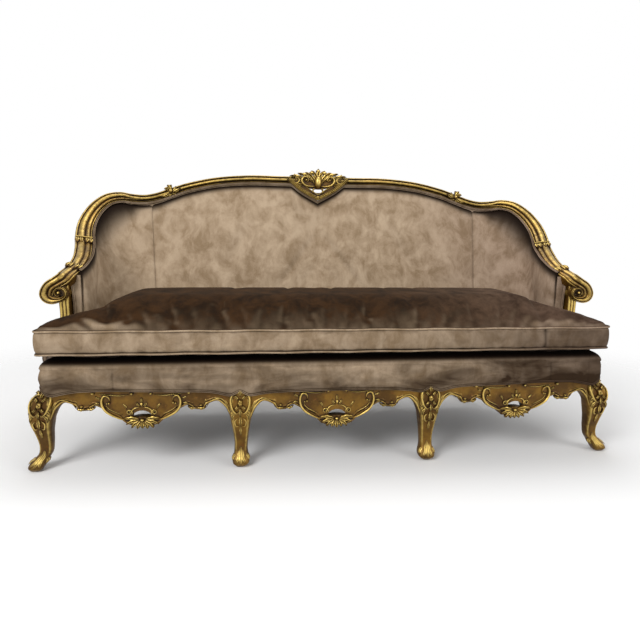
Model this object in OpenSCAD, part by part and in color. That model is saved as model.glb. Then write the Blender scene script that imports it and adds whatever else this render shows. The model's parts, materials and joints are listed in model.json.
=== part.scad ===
// Cabriole sofa: a carved and gilded show-wood frame on eight legs, a sprung and
// covered seat, padded back and wings, and one long loose boxed cushion.
// X runs along the sofa, Y runs from the front to the back, Z is up, in millimetres.

/* [Seat frame] */
// Distance between the centres of the two outer front legs
knee_span = 1902; // [1700:2:2100]
// Distance between the centres of the two inner front legs
mid_bay_w = 640; // [580:2:700]
// Height of the gilded front rail's visible top edge
show_h = 262; // [250:1:275]
// Height of the seat rails' top edge, under the upholstery
rail_top_h = 300; // [290:1:310]
// Height of the lowest point of each scalloped front bay
apron_low_h = 146; // [130:1:160]
// Thickness of the front rails
front_rail_t = 26; // [20:1:34]
// Thickness of the side and back seat rails
seat_rail_t = 26; // [20:1:34]
// Depth of the rebate that the upholstery is tacked into
rebate_d = 8; // [5:1:12]
// Height of the back seat rail and of the side rails
back_rail_h = 72; // [60:1:84]
// Thickness of the seat stretchers
stretcher_t = 28; // [20:1:36]
// Size of the glued corner blocks
block_size = 52; // [40:1:60]
// Thickness of the corner blocks
block_t = 24; // [18:1:30]

/* [Legs] */
// Width of a front leg's square head, where the rails meet it
leg_head_w = 58; // [50:1:66]
// Depth of a front leg's square head
leg_head_d = 54; // [46:1:62]
// Width of a front leg at its ankle
ankle_w = 44; // [34:1:52]
// Sideways throw of an outer front foot from its knee
outer_toe_throw = 32; // [10:1:44]
// Forward throw of the front feet from the ankle
toe_forward = 24; // [10:1:34]
// Width of a rear leg at the seat rail
rear_leg_w = 44; // [36:1:52]
// Distance of a rear foot behind the back seat rail's middle
rear_kick = 120; // [90:1:150]
// Distance between the two outer rear legs
rear_span = 1400; // [1300:2:1460]
// Radius of the nailed foot glides
glide_r = 10; // [8:0.5:13]
// Thickness of the foot glides
glide_t = 3; // [2:0.5:5]

/* [Back and arms] */
// Height of the crest rail's middle line at the centre of the back
crest_h = 1011; // [940:1:1080]
// Height of the arm rail's middle line at its front end
arm_h = 622; // [580:1:660]
// Distance of the back seat rail's middle behind the front plane
frame_back_y = 575; // [540:1:620]
// Distance of the outer front legs behind the line of the inner ones
corner_set_back = 20; // [10:1:22]
// Distance of the crest rail's middle line behind the front plane
crest_y = 718; // [680:1:760]
// Distance of the arm rail's front end behind the front plane
arm_front_y = 180; // [165:1:195]
// Width of the moulded rail at the centre of the back
crest_rail_w = 31; // [26:1:38]
// Width of the moulded rail on the arms
arm_rail_w = 60; // [50:1:68]
// Depth of the moulded rail from face to back
top_rail_d = 42; // [36:1:50]
// Width of the arm support post
support_w = 46; // [38:1:54]
// Depth of the arm support post
support_d = 40; // [32:1:46]
// Radius of the rolled arm end
roll_r = 36; // [28:1:40]
// Length of the rolled arm end from front to back
roll_len = 56; // [44:1:64]

/* [Carving] */
// Width of the pierced crest cartouche
crest_carving_w = 264; // [220:2:300]
// Height of the pierced crest cartouche
crest_carving_h = 136; // [110:2:150]
// How far the carving stands proud of the face it is on
relief = 12; // [6:1:16]
// Width of the shell carving on each front bay
shell_w = 116; // [90:2:130]
// Half width of the pierced opening above each shell
lunette_r = 35; // [24:1:40]
// Radius of the rosette on each front knee
rosette_r = 27; // [20:1:32]
// Length of the leaf spray on each shoulder
spray_len = 112; // [80:2:130]

/* [Upholstery] */
// Rise of the seat's front roll above the seat rails
deck_roll_rise = 46; // [36:1:52]
// Rise of the seat's flat top, under the cushion, above the seat rails
deck_rise = 84; // [70:1:92]
// Thickness of the stuffing over the springs
stuffing_t = 26; // [18:1:34]
// Thickness of the back padding at the seat
back_pad_t = 74; // [60:1:84]
// Thickness of the wing padding at the seat
wing_pad_t = 38; // [30:1:46]
// Radius of the double welt cord along the show wood
welt_r = 4; // [3:0.5:5]
// Width of one webbing strap
web_w = 50; // [40:1:60]
// Radius of a seat spring at its ends
spring_r = 40; // [32:1:46]

/* [Cushion] */
// Rise of the cushion's lower seam above the seat's flat top
cushion_seam_rise = 18; // [14:1:26]
// Height of the boxing between the cushion's two seams
boxing_h = 72; // [56:1:90]
// Rise of the cushion's crown above its upper seam
cushion_crown = 86; // [50:1:100]
// How far the cushion overhangs the front plane
cushion_overhang = 30; // [10:1:40]
// Half width of the cushion across its two front ears
ear_half_w = 938; // [900:1:975]
// Radius of the piping cord on the cushion
piping_r = 4; // [3:0.5:5]

/* [Hidden] */

// Colours
gilt = [0.70, 0.54, 0.20];
velvet = [0.60, 0.52, 0.43];
timber = [0.76, 0.60, 0.40];
jute = [0.66, 0.56, 0.38];
steel = [0.60, 0.61, 0.63];
black_cloth = [0.10, 0.10, 0.11];

// Clearances and the overrun of every cut
gap = 0.4;
soft_gap = 0.6;
overrun = 2;
web_t = 1.6;
cloth_t = 2.4;
round_n = 48;

// Main derived places
half_span = knee_span / 2;
inner_x = mid_bay_w / 2;
rear_x = rear_span / 2;
deepest_share = 1.02;
back_reach = arm_front_y + (crest_y - arm_front_y) * deepest_share + top_rail_d / 2;
middle_y = (back_reach - cushion_overhang) / 2;
head_front_y = 8;
outer_leg_y = head_front_y + corner_set_back;
head_low_rise = 20;
head_low_h = apron_low_h + head_low_rise;
face_set_back = 5;
face_y = head_front_y + face_set_back;
rail_low_h = rail_top_h - back_rail_h;
deck_roll_h = rail_top_h + deck_roll_rise;
deck_h = rail_top_h + deck_rise;
cushion_seam_h = deck_h + cushion_seam_rise;

function lerp(a, b, t) = a + (b - a) * t;
function unit(v) = v / norm(v);
function clamp01(t) = min(1, max(0, t));
function ease(t) = let(c = clamp01(t)) c * c * (3 - 2 * c);
function flip(p) = [for (q = p) [-q[0], q[1], q[2]]];
function turned(p) = [for (i = [len(p) - 1 : -1 : 0]) p[i]];

// A smooth curve through a table of places, of any number of columns
function between(p, i, t) = let(
    last = len(p) - 1,
    a = p[max(i - 1, 0)], b = p[i], c = p[min(i + 1, last)], d = p[min(i + 2, last)])
    0.5 * ((2 * b) + (c - a) * t + (2 * a - 5 * b + 4 * c - d) * t * t
    + (3 * b - a - 3 * c + d) * t * t * t);
function smooth(p, steps) = concat(
    [for (i = [0 : len(p) - 2]) for (k = [0 : steps - 1]) between(p, i, k / steps)],
    [p[len(p) - 1]]);

// The middle of a ring of points
function total(v) = v * [for (x = v) 1];
function middle(ring) = [for (axis = [0 : 2]) total([for (q = ring) q[axis]]) / len(ring)];

// The closed skin over a row of rings that all have the same number of points,
// with each end closed by a fan of triangles about its middle
module skin(rings) {
    m = len(rings[0]);
    n = len(rings);
    start = n * m;
    finish = n * m + 1;
    polyhedron(
        points = concat([for (r = rings) each r], [middle(rings[0]), middle(rings[n - 1])]),
        faces = concat(
            [for (j = [0 : m - 1]) [start, j, (j + 1) % m]],
            [for (i = [0 : n - 2]) for (j = [0 : m - 1]) let(
                a = i * m + j, b = i * m + (j + 1) % m, c = b + m, d = a + m)
                each [[a, c, b], [a, d, c]]],
            [for (j = [0 : m - 1]) [finish, (n - 1) * m + (j + 1) % m, (n - 1) * m + j]]));
}

// The closed skin over a row of rings that meets itself again, such as a cord
module closed_skin(rings) {
    m = len(rings[0]);
    n = len(rings);
    polyhedron(
        points = [for (r = rings) each r],
        faces = [for (i = [0 : n - 1]) for (j = [0 : m - 1]) let(
            k = (i + 1) % n, a = i * m + j, b = i * m + (j + 1) % m,
            c = k * m + (j + 1) % m, d = k * m + j)
            each [[a, c, b], [a, d, c]]]);
}

module placed(shade) {
    color(shade) translate([0, -middle_y, 0]) children();
}

// The line of the top rail
// Places from the centre of the crest to the front of the arm, as shares of the
// half span, of the way from the arm's front to the crest, and of the rise from
// the arm to the crest; then the share of the way from back width to arm width,
// and the share of a quarter turn that the moulded face makes.
top_line_shares = [
    [0.000, 1.000, 1.000, 0.00, 0.00],
    [0.168, 1.006, 0.998, 0.00, 0.00],
    [0.316, 1.013, 1.000, 0.00, 0.00],
    [0.463, 1.019, 0.970, 0.00, 0.00],
    [0.589, 1.020, 0.906, 0.02, 0.00],
    [0.674, 1.013, 0.838, 0.02, 0.00],
    [0.737, 0.992, 0.783, 0.00, 0.00],
    [0.789, 0.966, 0.756, 0.02, 0.02],
    [0.842, 0.929, 0.756, 0.10, 0.06],
    [0.884, 0.885, 0.762, 0.22, 0.14],
    [0.926, 0.822, 0.728, 0.38, 0.28],
    [0.958, 0.753, 0.648, 0.55, 0.42],
    [0.976, 0.678, 0.552, 0.72, 0.55],
    [0.982, 0.595, 0.450, 0.88, 0.66],
    [0.976, 0.511, 0.352, 0.98, 0.74],
    [0.962, 0.428, 0.270, 1.00, 0.80],
    [0.944, 0.316, 0.196, 1.00, 0.85],
    [0.931, 0.204, 0.124, 0.96, 0.88],
    [0.932, 0.102, 0.056, 0.90, 0.90],
    [0.944, 0.000, 0.000, 0.84, 0.90]];
shoulder_at = 5;
ring_at = 15;
quarter_turn = 90;
function top_place(s) = [
    s[0] * half_span,
    lerp(arm_front_y, crest_y, s[1]),
    lerp(arm_h, crest_h, s[2]),
    lerp(crest_rail_w, arm_rail_w, s[3]),
    s[4] * quarter_turn];
top_table = [for (s = top_line_shares) top_place(s)];
top_steps = 2;
top_line = smooth(top_table, top_steps);
function point(q) = [q[0], q[1], q[2]];
function heading(line, i) = unit(point(line[min(i + 1, len(line) - 1)])
    - point(line[max(i - 1, 0)]));
// The two directions across the rail at a place: towards its outer edge, and
// out of its moulded face
function across(line, i) = let(
    t = heading(line, i), lean = [sin(line[i][4]), 0, cos(line[i][4])],
    w = unit(lean - t * (lean * t)))
    [w, cross(t, w)];

// The section of the moulded rail, as shares of its width and depth, with a
// fillet, a round band and a bead on its face
rail_section_shares = [
    [-0.50, -0.42], [-0.50, 0.30], [-0.42, 0.44], [-0.30, 0.40], [-0.24, 0.33],
    [-0.12, 0.48], [0.06, 0.50], [0.22, 0.44], [0.28, 0.32], [0.38, 0.40],
    [0.50, 0.30], [0.50, -0.42], [0.30, -0.50], [-0.30, -0.50]];
function rail_ring(line, i, table) = let(
    c = point(line[i]), f = across(line, i), w = line[i][3])
    [for (s = turned(table)) c + f[0] * s[0] * w + f[1] * s[1] * top_rail_d];
// A place beside the rail: inwards from its inner edge, and out of its face
function beside(line, i, inwards, outwards) = let(f = across(line, i))
    point(line[i]) - f[0] * (line[i][3] / 2 + inwards) + f[1] * outwards;

module crest_rail() {
    n = shoulder_at * top_steps;
    placed(gilt) skin([for (i = [-n : n])
        i < 0 ? flip(rail_ring(top_line, -i, rail_section_shares))
            : rail_ring(top_line, i, rail_section_shares)]);
}

module wing_rail() {
    a = shoulder_at * top_steps;
    b = ring_at * top_steps;
    placed(gilt) skin([for (i = [a : b]) rail_ring(top_line, i, rail_section_shares)]);
}
module wing_rail_right() { wing_rail(); }
module wing_rail_left() { mirror([1, 0, 0]) wing_rail(); }

// The arm with its rolled end
// The roll's outline seen from the front: round the volute and out to the tip
roll_outline_shares = [
    [-0.62, 0.30], [-0.20, 0.96], [0.30, 1.22], [0.90, 1.04], [1.50, 0.62],
    [1.88, 0.10], [1.86, -0.36], [1.50, -0.78], [1.00, -0.98], [0.40, -1.04],
    [-0.20, -0.92], [-0.62, -0.56], [-0.76, -0.10]];
roll_x_share = 0.958;
roll_drop = 48;
roll_face_out = 38;
roll_face_y = arm_front_y - roll_face_out;
roll_bands_shares = [[0.00, 0.80], [0.07, 0.93], [0.18, 1.00], [0.80, 1.00], [1.00, 0.86]];
function roll_ring(band) = let(
    cx = half_span * roll_x_share, cz = arm_h - roll_drop)
    [for (s = roll_outline_shares) [
        cx + s[0] * roll_r * band[1],
        roll_face_y + roll_len * band[0],
        cz + s[1] * roll_r * band[1]]];
module arm() {
    a = ring_at * top_steps;
    b = len(top_line) - 1;
    placed(gilt) union() {
        skin([for (i = [a : b]) rail_ring(top_line, i, rail_section_shares)]);
        skin([for (k = roll_bands_shares) roll_ring(k)]);
    }
}
module arm_right() { arm(); }
module arm_left() { mirror([1, 0, 0]) arm(); }

// The arm support, sweeping up from the corner to the arm
// Height, place across and place back as shares, then width and depth shares
support_shares = [
    [0.00, 0.976, 0.64, 1.00, 0.96], [0.10, 0.984, 0.74, 1.06, 1.00],
    [0.24, 0.999, 0.84, 1.12, 1.00], [0.36, 0.990, 0.90, 1.06, 1.00],
    [0.50, 0.966, 0.95, 0.98, 1.00], [0.64, 0.946, 0.97, 0.96, 1.00],
    [0.80, 0.936, 0.99, 0.96, 1.00], [1.00, 0.936, 1.00, 0.96, 1.00]];
support_top_h = arm_h - roll_drop - roll_r - gap;
support_back = 8;
support_y = arm_front_y - support_back;
support_section_shares = [
    [-0.50, -0.30], [-0.40, -0.46], [-0.22, -0.50], [-0.12, -0.42], [0.12, -0.42],
    [0.22, -0.50], [0.40, -0.46], [0.50, -0.30], [0.50, 0.40], [0.40, 0.50],
    [-0.40, 0.50], [-0.50, 0.40]];
support_steps = 2;
module arm_support() {
    table = smooth([for (s = support_shares) [
        s[1] * half_span, s[2] * support_y, lerp(rail_top_h + gap, support_top_h, s[0]),
        s[3] * support_w, s[4] * support_d]], support_steps);
    placed(gilt) skin([for (q = table)
        [for (s = support_section_shares) [q[0] + s[0] * q[3], q[1] + s[1] * q[4], q[2]]]]);
}
module arm_support_right() { arm_support(); }
module arm_support_left() { mirror([1, 0, 0]) arm_support(); }

// Front legs
// Height share, then places and half sizes as shares. The upper part is a
// straight square head, the lower part swells and tapers to a scrolled foot.
leg_ring_shares = [
    [-1.00, -0.70], [-0.78, -1.00], [-0.30, -1.00], [0.30, -1.00], [0.78, -1.00],
    [1.00, -0.70], [1.00, 0.80], [0.84, 1.00], [-0.84, 1.00], [-1.00, 0.80]];
inner_leg_shares = [
    // height, width, depth, sideways throw, forward throw
    [0.000, 0.86, 0.80, 0.0, 1.00], [0.060, 1.20, 1.02, 0.0, 1.00],
    [0.130, 1.24, 1.00, 0.0, 0.80], [0.200, 1.02, 0.92, 0.0, 0.30],
    [0.290, 0.98, 0.90, 0.0, -0.20], [0.420, 1.00, 0.94, 0.0, -0.20],
    [0.600, 1.10, 1.04, 0.0, 0.00], [0.800, 1.24, 1.16, 0.0, 0.20]];
outer_leg_shares = [
    [0.000, 0.90, 0.84, 1.00, 1.00], [0.060, 1.22, 1.06, 1.02, 1.00],
    [0.140, 1.22, 1.02, 0.84, 0.80], [0.250, 1.06, 0.92, 0.36, 0.30],
    [0.380, 1.00, 0.90, 0.02, -0.20], [0.520, 1.04, 0.96, -0.02, -0.20],
    [0.680, 1.16, 1.06, 0.08, 0.00], [0.840, 1.28, 1.18, 0.10, 0.20]];
leg_steps = 2;
// The head's shoulder, above which its outer side draws in under the seat's corner
head_shoulder_drop = 22;
head_draw_in = 34;
module front_leg(x, y, shares, draw_in) {
    low = smooth([for (s = shares) [
        x + s[3] * outer_toe_throw,
        y + leg_head_d / 2 - s[4] * toe_forward + (1 - s[0]) * toe_forward / 2,
        lerp(glide_t, head_low_h, s[0]),
        s[1] * ankle_w / 2,
        s[2] * ankle_w / 2]], leg_steps);
    head = [for (h = [[head_low_h, 0], [show_h - head_shoulder_drop, 0], [rail_top_h, draw_in]])
        [x - h[1] / 2, y + leg_head_d / 2, h[0], (leg_head_w - h[1]) / 2, leg_head_d / 2]];
    placed(gilt) skin([for (q = concat(low, head))
        [for (s = leg_ring_shares) [q[0] + s[0] * q[3], q[1] + s[1] * q[4], q[2]]]]);
}
module front_leg_outer_right() { front_leg(half_span, outer_leg_y, outer_leg_shares, head_draw_in); }
module front_leg_outer_left() { mirror([1, 0, 0]) front_leg_outer_right(); }
module front_leg_inner_right() { front_leg(inner_x, head_front_y, inner_leg_shares, 0); }
module front_leg_inner_left() { mirror([1, 0, 0]) front_leg_inner_right(); }

// Where a foot stands: across, and back from the front plane
function front_foot(x, y, throw) = [x + throw * outer_toe_throw,
    y + leg_head_d / 2 - toe_forward / 2];
function wall_y(x) = let(
    k = [for (i = [0 : ring_at * top_steps - 1]) if (wall[i][0] <= x && wall[i + 1][0] > x) i][0])
    lerp(wall[k][1], wall[k + 1][1], (x - wall[k][0]) / (wall[k + 1][0] - wall[k][0]));
straight_at = 10;
function rail_at(x) = let(
    k = [for (i = [0 : straight_at * top_steps])
        if (top_line[i][0] <= x && top_line[i + 1][0] > x) i][0],
    t = (x - top_line[k][0]) / (top_line[k + 1][0] - top_line[k][0]))
    lerp(top_line[k], top_line[k + 1], t);
function rail_slope(x) = let(a = rail_at(x - rear_leg_w / 2), b = rail_at(x + rear_leg_w / 2))
    (b - a) / (b[0] - a[0]);
function wall_slope(x) = let(d = rear_leg_w / 2) (wall_y(x + d) - wall_y(x - d)) / (2 * d);

// The line of the wall at seat level
// One place for each place of the top rail's table, as shares of the half span
// and of the distance to the back seat rail
wall_shares = [
    [0.000, 1.000], [0.168, 1.000], [0.316, 1.000], [0.463, 1.000], [0.589, 0.995],
    [0.674, 0.986], [0.737, 0.972], [0.785, 0.945], [0.825, 0.905], [0.858, 0.855],
    [0.887, 0.795], [0.910, 0.735], [0.928, 0.675], [0.941, 0.615], [0.950, 0.555],
    [0.956, 0.500], [0.958, 0.445], [0.957, 0.395], [0.954, 0.345], [0.950, 0.300]];
wall = smooth([for (s = wall_shares) [s[0] * half_span, s[1] * frame_back_y]], top_steps);
wall_end = len(wall) - 2;
seam_at = 6;
wing_full_at = 12;
function wall_heading(i) = unit(wall[min(i + 1, len(wall) - 1)] - wall[max(i - 1, 0)]);
// How far the back runs nearly straight on each side of the middle
back_turn_x = wall[seam_at * top_steps][0];
function inward(i) = let(h = wall_heading(i)) [h[1], -h[0]];
function wingness(i) = ease((i / top_steps - seam_at) / (wing_full_at - seam_at));
function wall_in(i, d) = wall[i] + inward(i) * d;
function at_z(p, z) = [p[0], p[1], z];
function pad_t(i) = lerp(back_pad_t, wing_pad_t, wingness(i));
function lean_share(i) = top_line[i][4] / quarter_turn;

// Rear legs, which run on up as the posts of the back
rear_low_shares = [[0.00, 1.00, 0.74], [0.08, 0.98, 0.90], [0.20, 0.84, 0.72],
    [0.42, 0.56, 0.72], [0.68, 0.22, 0.86], [0.90, 0.03, 0.98]];
post_w = 34;
post_d = 26;
post_gap = 2;
module rear_leg(x) {
    y = wall_y(x);
    top = rail_at(x);
    slope = rail_slope(x);
    top_z = top[2] - top[3] / 2 - post_gap;
    low = smooth([for (s = rear_low_shares) [
        x, y + s[1] * rear_kick, lerp(glide_t, rail_low_h, s[0]),
        s[2] * rear_leg_w / 2, s[2] * rear_leg_w / 2, 0, 0]], leg_steps);
    head = [for (h = [rail_low_h, rail_top_h]) [x, y, h, rear_leg_w / 2, rear_leg_w / 2, 0, 0]];
    // The post follows the slant of the wall below and of the rail above
    post = [
        [x, y + post_gap, rail_top_h, post_w / 2, post_d / 2, wall_slope(x), 0],
        [x, top[1], top_z, post_w / 2, post_d / 2, slope[1], slope[2]]];
    placed(gilt) skin([for (q = concat(low, head, post))
        [for (s = leg_ring_shares) let(dx = s[0] * q[3])
            [q[0] + dx, q[1] + s[1] * q[4] + dx * q[5], q[2] + dx * q[6]]]]);
}
module rear_leg_outer_right() { rear_leg(rear_x); }
module rear_leg_outer_left() { mirror([1, 0, 0]) rear_leg(rear_x); }
module rear_leg_inner_right() { rear_leg(inner_x); }
module rear_leg_inner_left() { mirror([1, 0, 0]) rear_leg(inner_x); }

// Places of all the feet on one side
right_feet = [
    front_foot(half_span, outer_leg_y, 1), front_foot(inner_x, head_front_y, 0),
    [rear_x, wall_y(rear_x) + rear_kick], [inner_x, wall_y(inner_x) + rear_kick]];
module foot_glides() {
    placed(steel) for (p = concat(right_feet, flip(right_feet)))
        translate([p[0], p[1], 0]) cylinder(r = glide_r, h = glide_t, $fn = round_n);
}

// Seat rails
// A flat outline seen from the front, extruded between two depths
module slab(y0, y1) {
    translate([0, y1, 0]) rotate([90, 0, 0]) linear_extrude(y1 - y0) children();
}
// The lower edge of half a bay: place across as a share of the clear half width,
// height as a share of the way from the lowest point to the show edge
bay_edge_shares = [
    [0.000, 0.00], [0.087, 0.05], [0.174, 0.10], [0.260, 0.29], [0.347, 0.42],
    [0.417, 0.53], [0.503, 0.63], [0.556, 0.57], [0.590, 0.51], [0.677, 0.51],
    [0.730, 0.65], [0.816, 0.74], [0.868, 0.71], [0.930, 0.55], [0.972, 0.34],
    [1.000, 0.18]];
mid_bay_drop = 12;
lunette_shares = [[-1.00, 0.00], [-0.86, 0.44], [-0.50, 0.84], [0.00, 1.00], [0.50, 0.84],
    [0.86, 0.44], [1.00, 0.00], [0.50, 0.14], [0.00, 0.20], [-0.50, 0.14]];
lunette_h = 27;
lunette_low_share = 0.27;
module bay_outline(clear_half, low, extra) {
    half = [for (s = bay_edge_shares) [s[0] * clear_half, lerp(low, show_h, s[1])]];
    difference() {
        polygon(concat(
            half, [[clear_half + extra, half[len(half) - 1][1]],
                [clear_half + extra, rail_top_h], [-clear_half - extra, rail_top_h],
                [-clear_half - extra, half[len(half) - 1][1]]],
            [for (i = [len(half) - 1 : -1 : 1]) [-half[i][0], half[i][1]]]));
        lunette(low);
    }
}
module lunette(low) {
    polygon([for (s = lunette_shares)
        [s[0] * lunette_r, lerp(low, show_h, lunette_low_share) + s[1] * lunette_h]]);
}
module rebate(clear_half) {
    translate([-clear_half - overrun, face_y - overrun, show_h])
        cube([2 * clear_half + 2 * overrun, rebate_d + overrun, rail_top_h - show_h + overrun]);
}
side_bay = half_span - inner_x;
bay_turn = atan2(corner_set_back, side_bay);
module in_side_bay() {
    translate([inner_x, 0, 0]) rotate([0, 0, bay_turn]) translate([side_bay / 2, 0, 0]) children();
}
module front_rail_centre() {
    clear_half = inner_x - leg_head_w / 2;
    placed(gilt) difference() {
        slab(face_y, face_y + front_rail_t) bay_outline(clear_half, apron_low_h - mid_bay_drop, 0);
        rebate(clear_half);
    }
}
module side_bay_rail() {
    clear_half = (side_bay - leg_head_w) / 2;
    placed(gilt) intersection() {
        in_side_bay() difference() {
            slab(face_y, face_y + front_rail_t) bay_outline(clear_half, apron_low_h, overrun);
            rebate(clear_half + overrun);
        }
        translate([inner_x + leg_head_w / 2, 0, 0])
            cube([side_bay - leg_head_w, half_span, rail_top_h + overrun]);
    }
}
module front_rail_right() { side_bay_rail(); }
module front_rail_left() { mirror([1, 0, 0]) side_bay_rail(); }

// The straight inner rail behind the carved ones that carries the webbing, with
// the stretchers that run from it to the back
spring_rail_y = head_front_y + leg_head_d;
stretcher_h = 50;
module seat_stretchers() {
    end_x = half_span - leg_head_w / 2;
    placed(timber) {
        translate([-end_x, spring_rail_y, rail_low_h])
            cube([2 * end_x, seat_rail_t, back_rail_h]);
        for (side = [-1, 1])
            translate([side * inner_x - stretcher_t / 2, spring_rail_y + seat_rail_t, rail_low_h])
                cube([stretcher_t,
                    wall_y(inner_x) - rear_leg_w / 2 - spring_rail_y - seat_rail_t, stretcher_h]);
    }
}

// The curved side rail, between the outer rear leg and the outer front leg
module side_rail() {
    path = concat([for (i = [seam_at * top_steps : len(wall) - 1]) wall[i]],
        [[half_span, outer_leg_y + leg_head_d + overrun], [half_span, outer_leg_y]]);
    n = len(path);
    function side(i, d) = let(h = unit(path[min(i + 1, n - 1)] - path[max(i - 1, 0)]))
        path[i] + [h[1], -h[0]] * d;
    front = outer_leg_y + leg_head_d;
    placed(gilt) intersection() {
        translate([0, 0, rail_low_h]) linear_extrude(back_rail_h) polygon(concat(
            [for (i = [0 : n - 1]) side(i, seat_rail_t / 2)],
            [for (i = [n - 1 : -1 : 0]) side(i, -seat_rail_t / 2)]));
        translate([rear_x + rear_leg_w / 2, front, 0])
            cube([half_span, frame_back_y, rail_top_h + overrun]);
    }
}
module side_rail_right() { side_rail(); }
module side_rail_left() { mirror([1, 0, 0]) side_rail(); }

// The back seat rail, in three lengths between the rear legs, with pilot holes
// for the screws of the corner blocks
screw_r = 2.2;
screw_head_r = 4.5;
screw_head_h = 3;
screw_bite = 14;
screw_fit = 0.1;
block_low_gap = 8;
back_front_y = frame_back_y - seat_rail_t / 2;
function block_places() = let(
    a = inner_x - rear_leg_w / 2 - block_size / 2,
    b = inner_x + rear_leg_w / 2 + block_size / 2,
    c = rear_x - rear_leg_w / 2 - block_size / 2)
    [for (x = [a, b, c]) for (side = [-1, 1]) side * x];
module screw_bodies(r) {
    for (x = block_places())
        translate([x, back_front_y + screw_bite, rail_low_h + back_rail_h / 2])
            rotate([90, 0, 0]) cylinder(r = r, h = screw_bite + block_t, $fn = round_n);
}
module back_seat_rail() {
    edges = [[-rear_x, -inner_x], [-inner_x, inner_x], [inner_x, rear_x]];
    placed(timber) difference() {
        for (e = edges) translate([e[0] + rear_leg_w / 2, back_front_y, rail_low_h])
            cube([e[1] - e[0] - rear_leg_w, seat_rail_t, back_rail_h]);
        screw_bodies(screw_r + screw_fit);
    }
}
module corner_blocks() {
    front_x = [inner_x - leg_head_w / 2 - block_size, inner_x + leg_head_w / 2];
    front_y = face_y + front_rail_t;
    slant = corner_set_back * (block_size + leg_head_w) / side_bay;
    placed(timber) {
        difference() {
            for (x = block_places())
                translate([x - block_size / 2, back_front_y - block_t, rail_low_h + block_low_gap])
                    cube([block_size, block_t, back_rail_h - 2 * block_low_gap]);
            screw_bodies(screw_r + screw_fit);
        }
        for (side = [-1, 1]) for (k = [0, 1]) {
            y = front_y + k * slant;
            translate([side * (front_x[k] + block_size / 2) - block_size / 2, y,
                rail_low_h + block_low_gap])
                cube([block_size, spring_rail_y - y, back_rail_h - 2 * block_low_gap]);
        }
    }
}
module corner_block_screws() {
    placed(steel) {
        screw_bodies(screw_r);
        for (x = block_places())
            translate([x, back_front_y - block_t, rail_low_h + back_rail_h / 2])
                rotate([90, 0, 0]) cylinder(r = screw_head_r, h = screw_head_h, $fn = round_n);
    }
}

// Carving
rosette_h = 226;
petals = 5;
turn = 360;
petal_place_share = 0.58;
petal_share = 0.42;
rosette_eye_share = 0.34;
eye_proud = 4;
module rosette(x, y) {
    translate([x, 0, rosette_h]) {
        slab(y - relief, y) {
            for (k = [0 : petals - 1]) rotate(k * turn / petals + quarter_turn)
                translate([petal_place_share * rosette_r, 0])
                    circle(r = petal_share * rosette_r, $fn = round_n);
            circle(r = petal_place_share * rosette_r, $fn = round_n);
        }
        slab(y - relief - eye_proud, y - relief)
            circle(r = rosette_eye_share * rosette_r, $fn = round_n);
    }
}
module knee_carvings() {
    placed(gilt) for (side = [-1, 1]) {
        rosette(side * half_span, outer_leg_y);
        rosette(side * inner_x, head_front_y);
    }
}

// The shell under each pierced opening and the two scrolls beside it
shell_ribs = 7;
shell_notch_share = 0.14;
shell_h = 34;
scroll_band = 7;
scroll_r = 15;
scroll_x_shares = [1.50, 3.40];
scroll_z_shares = [0.52, 0.70];
half_turn = 180;
shell_steps = 42;
module scroll_arc(x, z, r) {
    translate([x, z]) difference() {
        circle(r = r, $fn = round_n);
        circle(r = r - scroll_band, $fn = round_n);
    }
}
module apron_carving(low) {
    z0 = lerp(low, show_h, lunette_low_share);
    slab(face_y - relief, face_y) difference() {
        union() {
            translate([0, z0]) polygon([for (k = [0 : shell_steps]) let(
                a = half_turn + half_turn * k / shell_steps,
                rib = 1 - shell_notch_share * abs(sin(a * shell_ribs / 2)))
                [cos(a) * shell_w / 2 * rib, sin(a) * shell_h * rib]]);
            for (side = [-1, 1]) for (k = [0, 1])
                scroll_arc(side * scroll_x_shares[k] * lunette_r,
                    lerp(low, show_h, scroll_z_shares[k]), scroll_r);
        }
        lunette(low);
    }
}
module apron_carving_centre() { placed(gilt) apron_carving(apron_low_h - mid_bay_drop); }
module apron_carving_right() { placed(gilt) in_side_bay() apron_carving(apron_low_h); }
module apron_carving_left() { mirror([1, 0, 0]) apron_carving_right(); }

// The pierced cartouche on the crest, half its outline as shares
crest_outline_shares = [
    [0.00, 0.00], [0.16, 0.08], [0.36, 0.18], [0.56, 0.29], [0.74, 0.42], [0.88, 0.56],
    [1.00, 0.66], [0.92, 0.76], [0.80, 0.79], [0.72, 0.91], [0.52, 0.94], [0.42, 0.85],
    [0.30, 0.88], [0.24, 0.99], [0.12, 1.00], [0.00, 0.95]];
crescent_shares = [
    [-0.36, 0.40], [-0.18, 0.28], [0.00, 0.24], [0.18, 0.28], [0.36, 0.40],
    [0.18, 0.37], [0.00, 0.35], [-0.18, 0.37]];
crest_hang_share = 0.65;
crest_low = crest_h - crest_carving_h * crest_hang_share;
bud_r = 17;
bud_share = 0.60;
web_back = 12;
module crest_outline() {
    function at(s) = [s[0] * crest_carving_w / 2, crest_low + s[1] * crest_carving_h];
    difference() {
        polygon(concat([for (s = crest_outline_shares) at(s)],
            [for (s = turned(crest_outline_shares)) if (s[0] > 0) at([-s[0], s[1]])]));
        polygon([for (s = crescent_shares) at(s)]);
    }
}
crest_face_y = crest_y - top_rail_d / 2 - gap;
module crest_carving() {
    placed(gilt) union() {
        slab(crest_face_y - relief, crest_face_y) crest_outline();
        slab(crest_face_y - relief, crest_y + web_back) intersection() {
            crest_outline();
            translate([-crest_carving_w / 2, crest_low - overrun])
                square([crest_carving_w,
                    crest_h - crest_rail_w / 2 - crest_low + overrun - 2 * gap]);
        }
        intersection() {
            translate([0, crest_face_y - relief, crest_low + bud_share * crest_carving_h])
                sphere(r = bud_r, $fn = round_n);
            translate([-bud_r, crest_face_y - relief - bud_r, crest_low])
                cube([2 * bud_r, relief + bud_r, crest_carving_h]);
        }
    }
}

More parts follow.
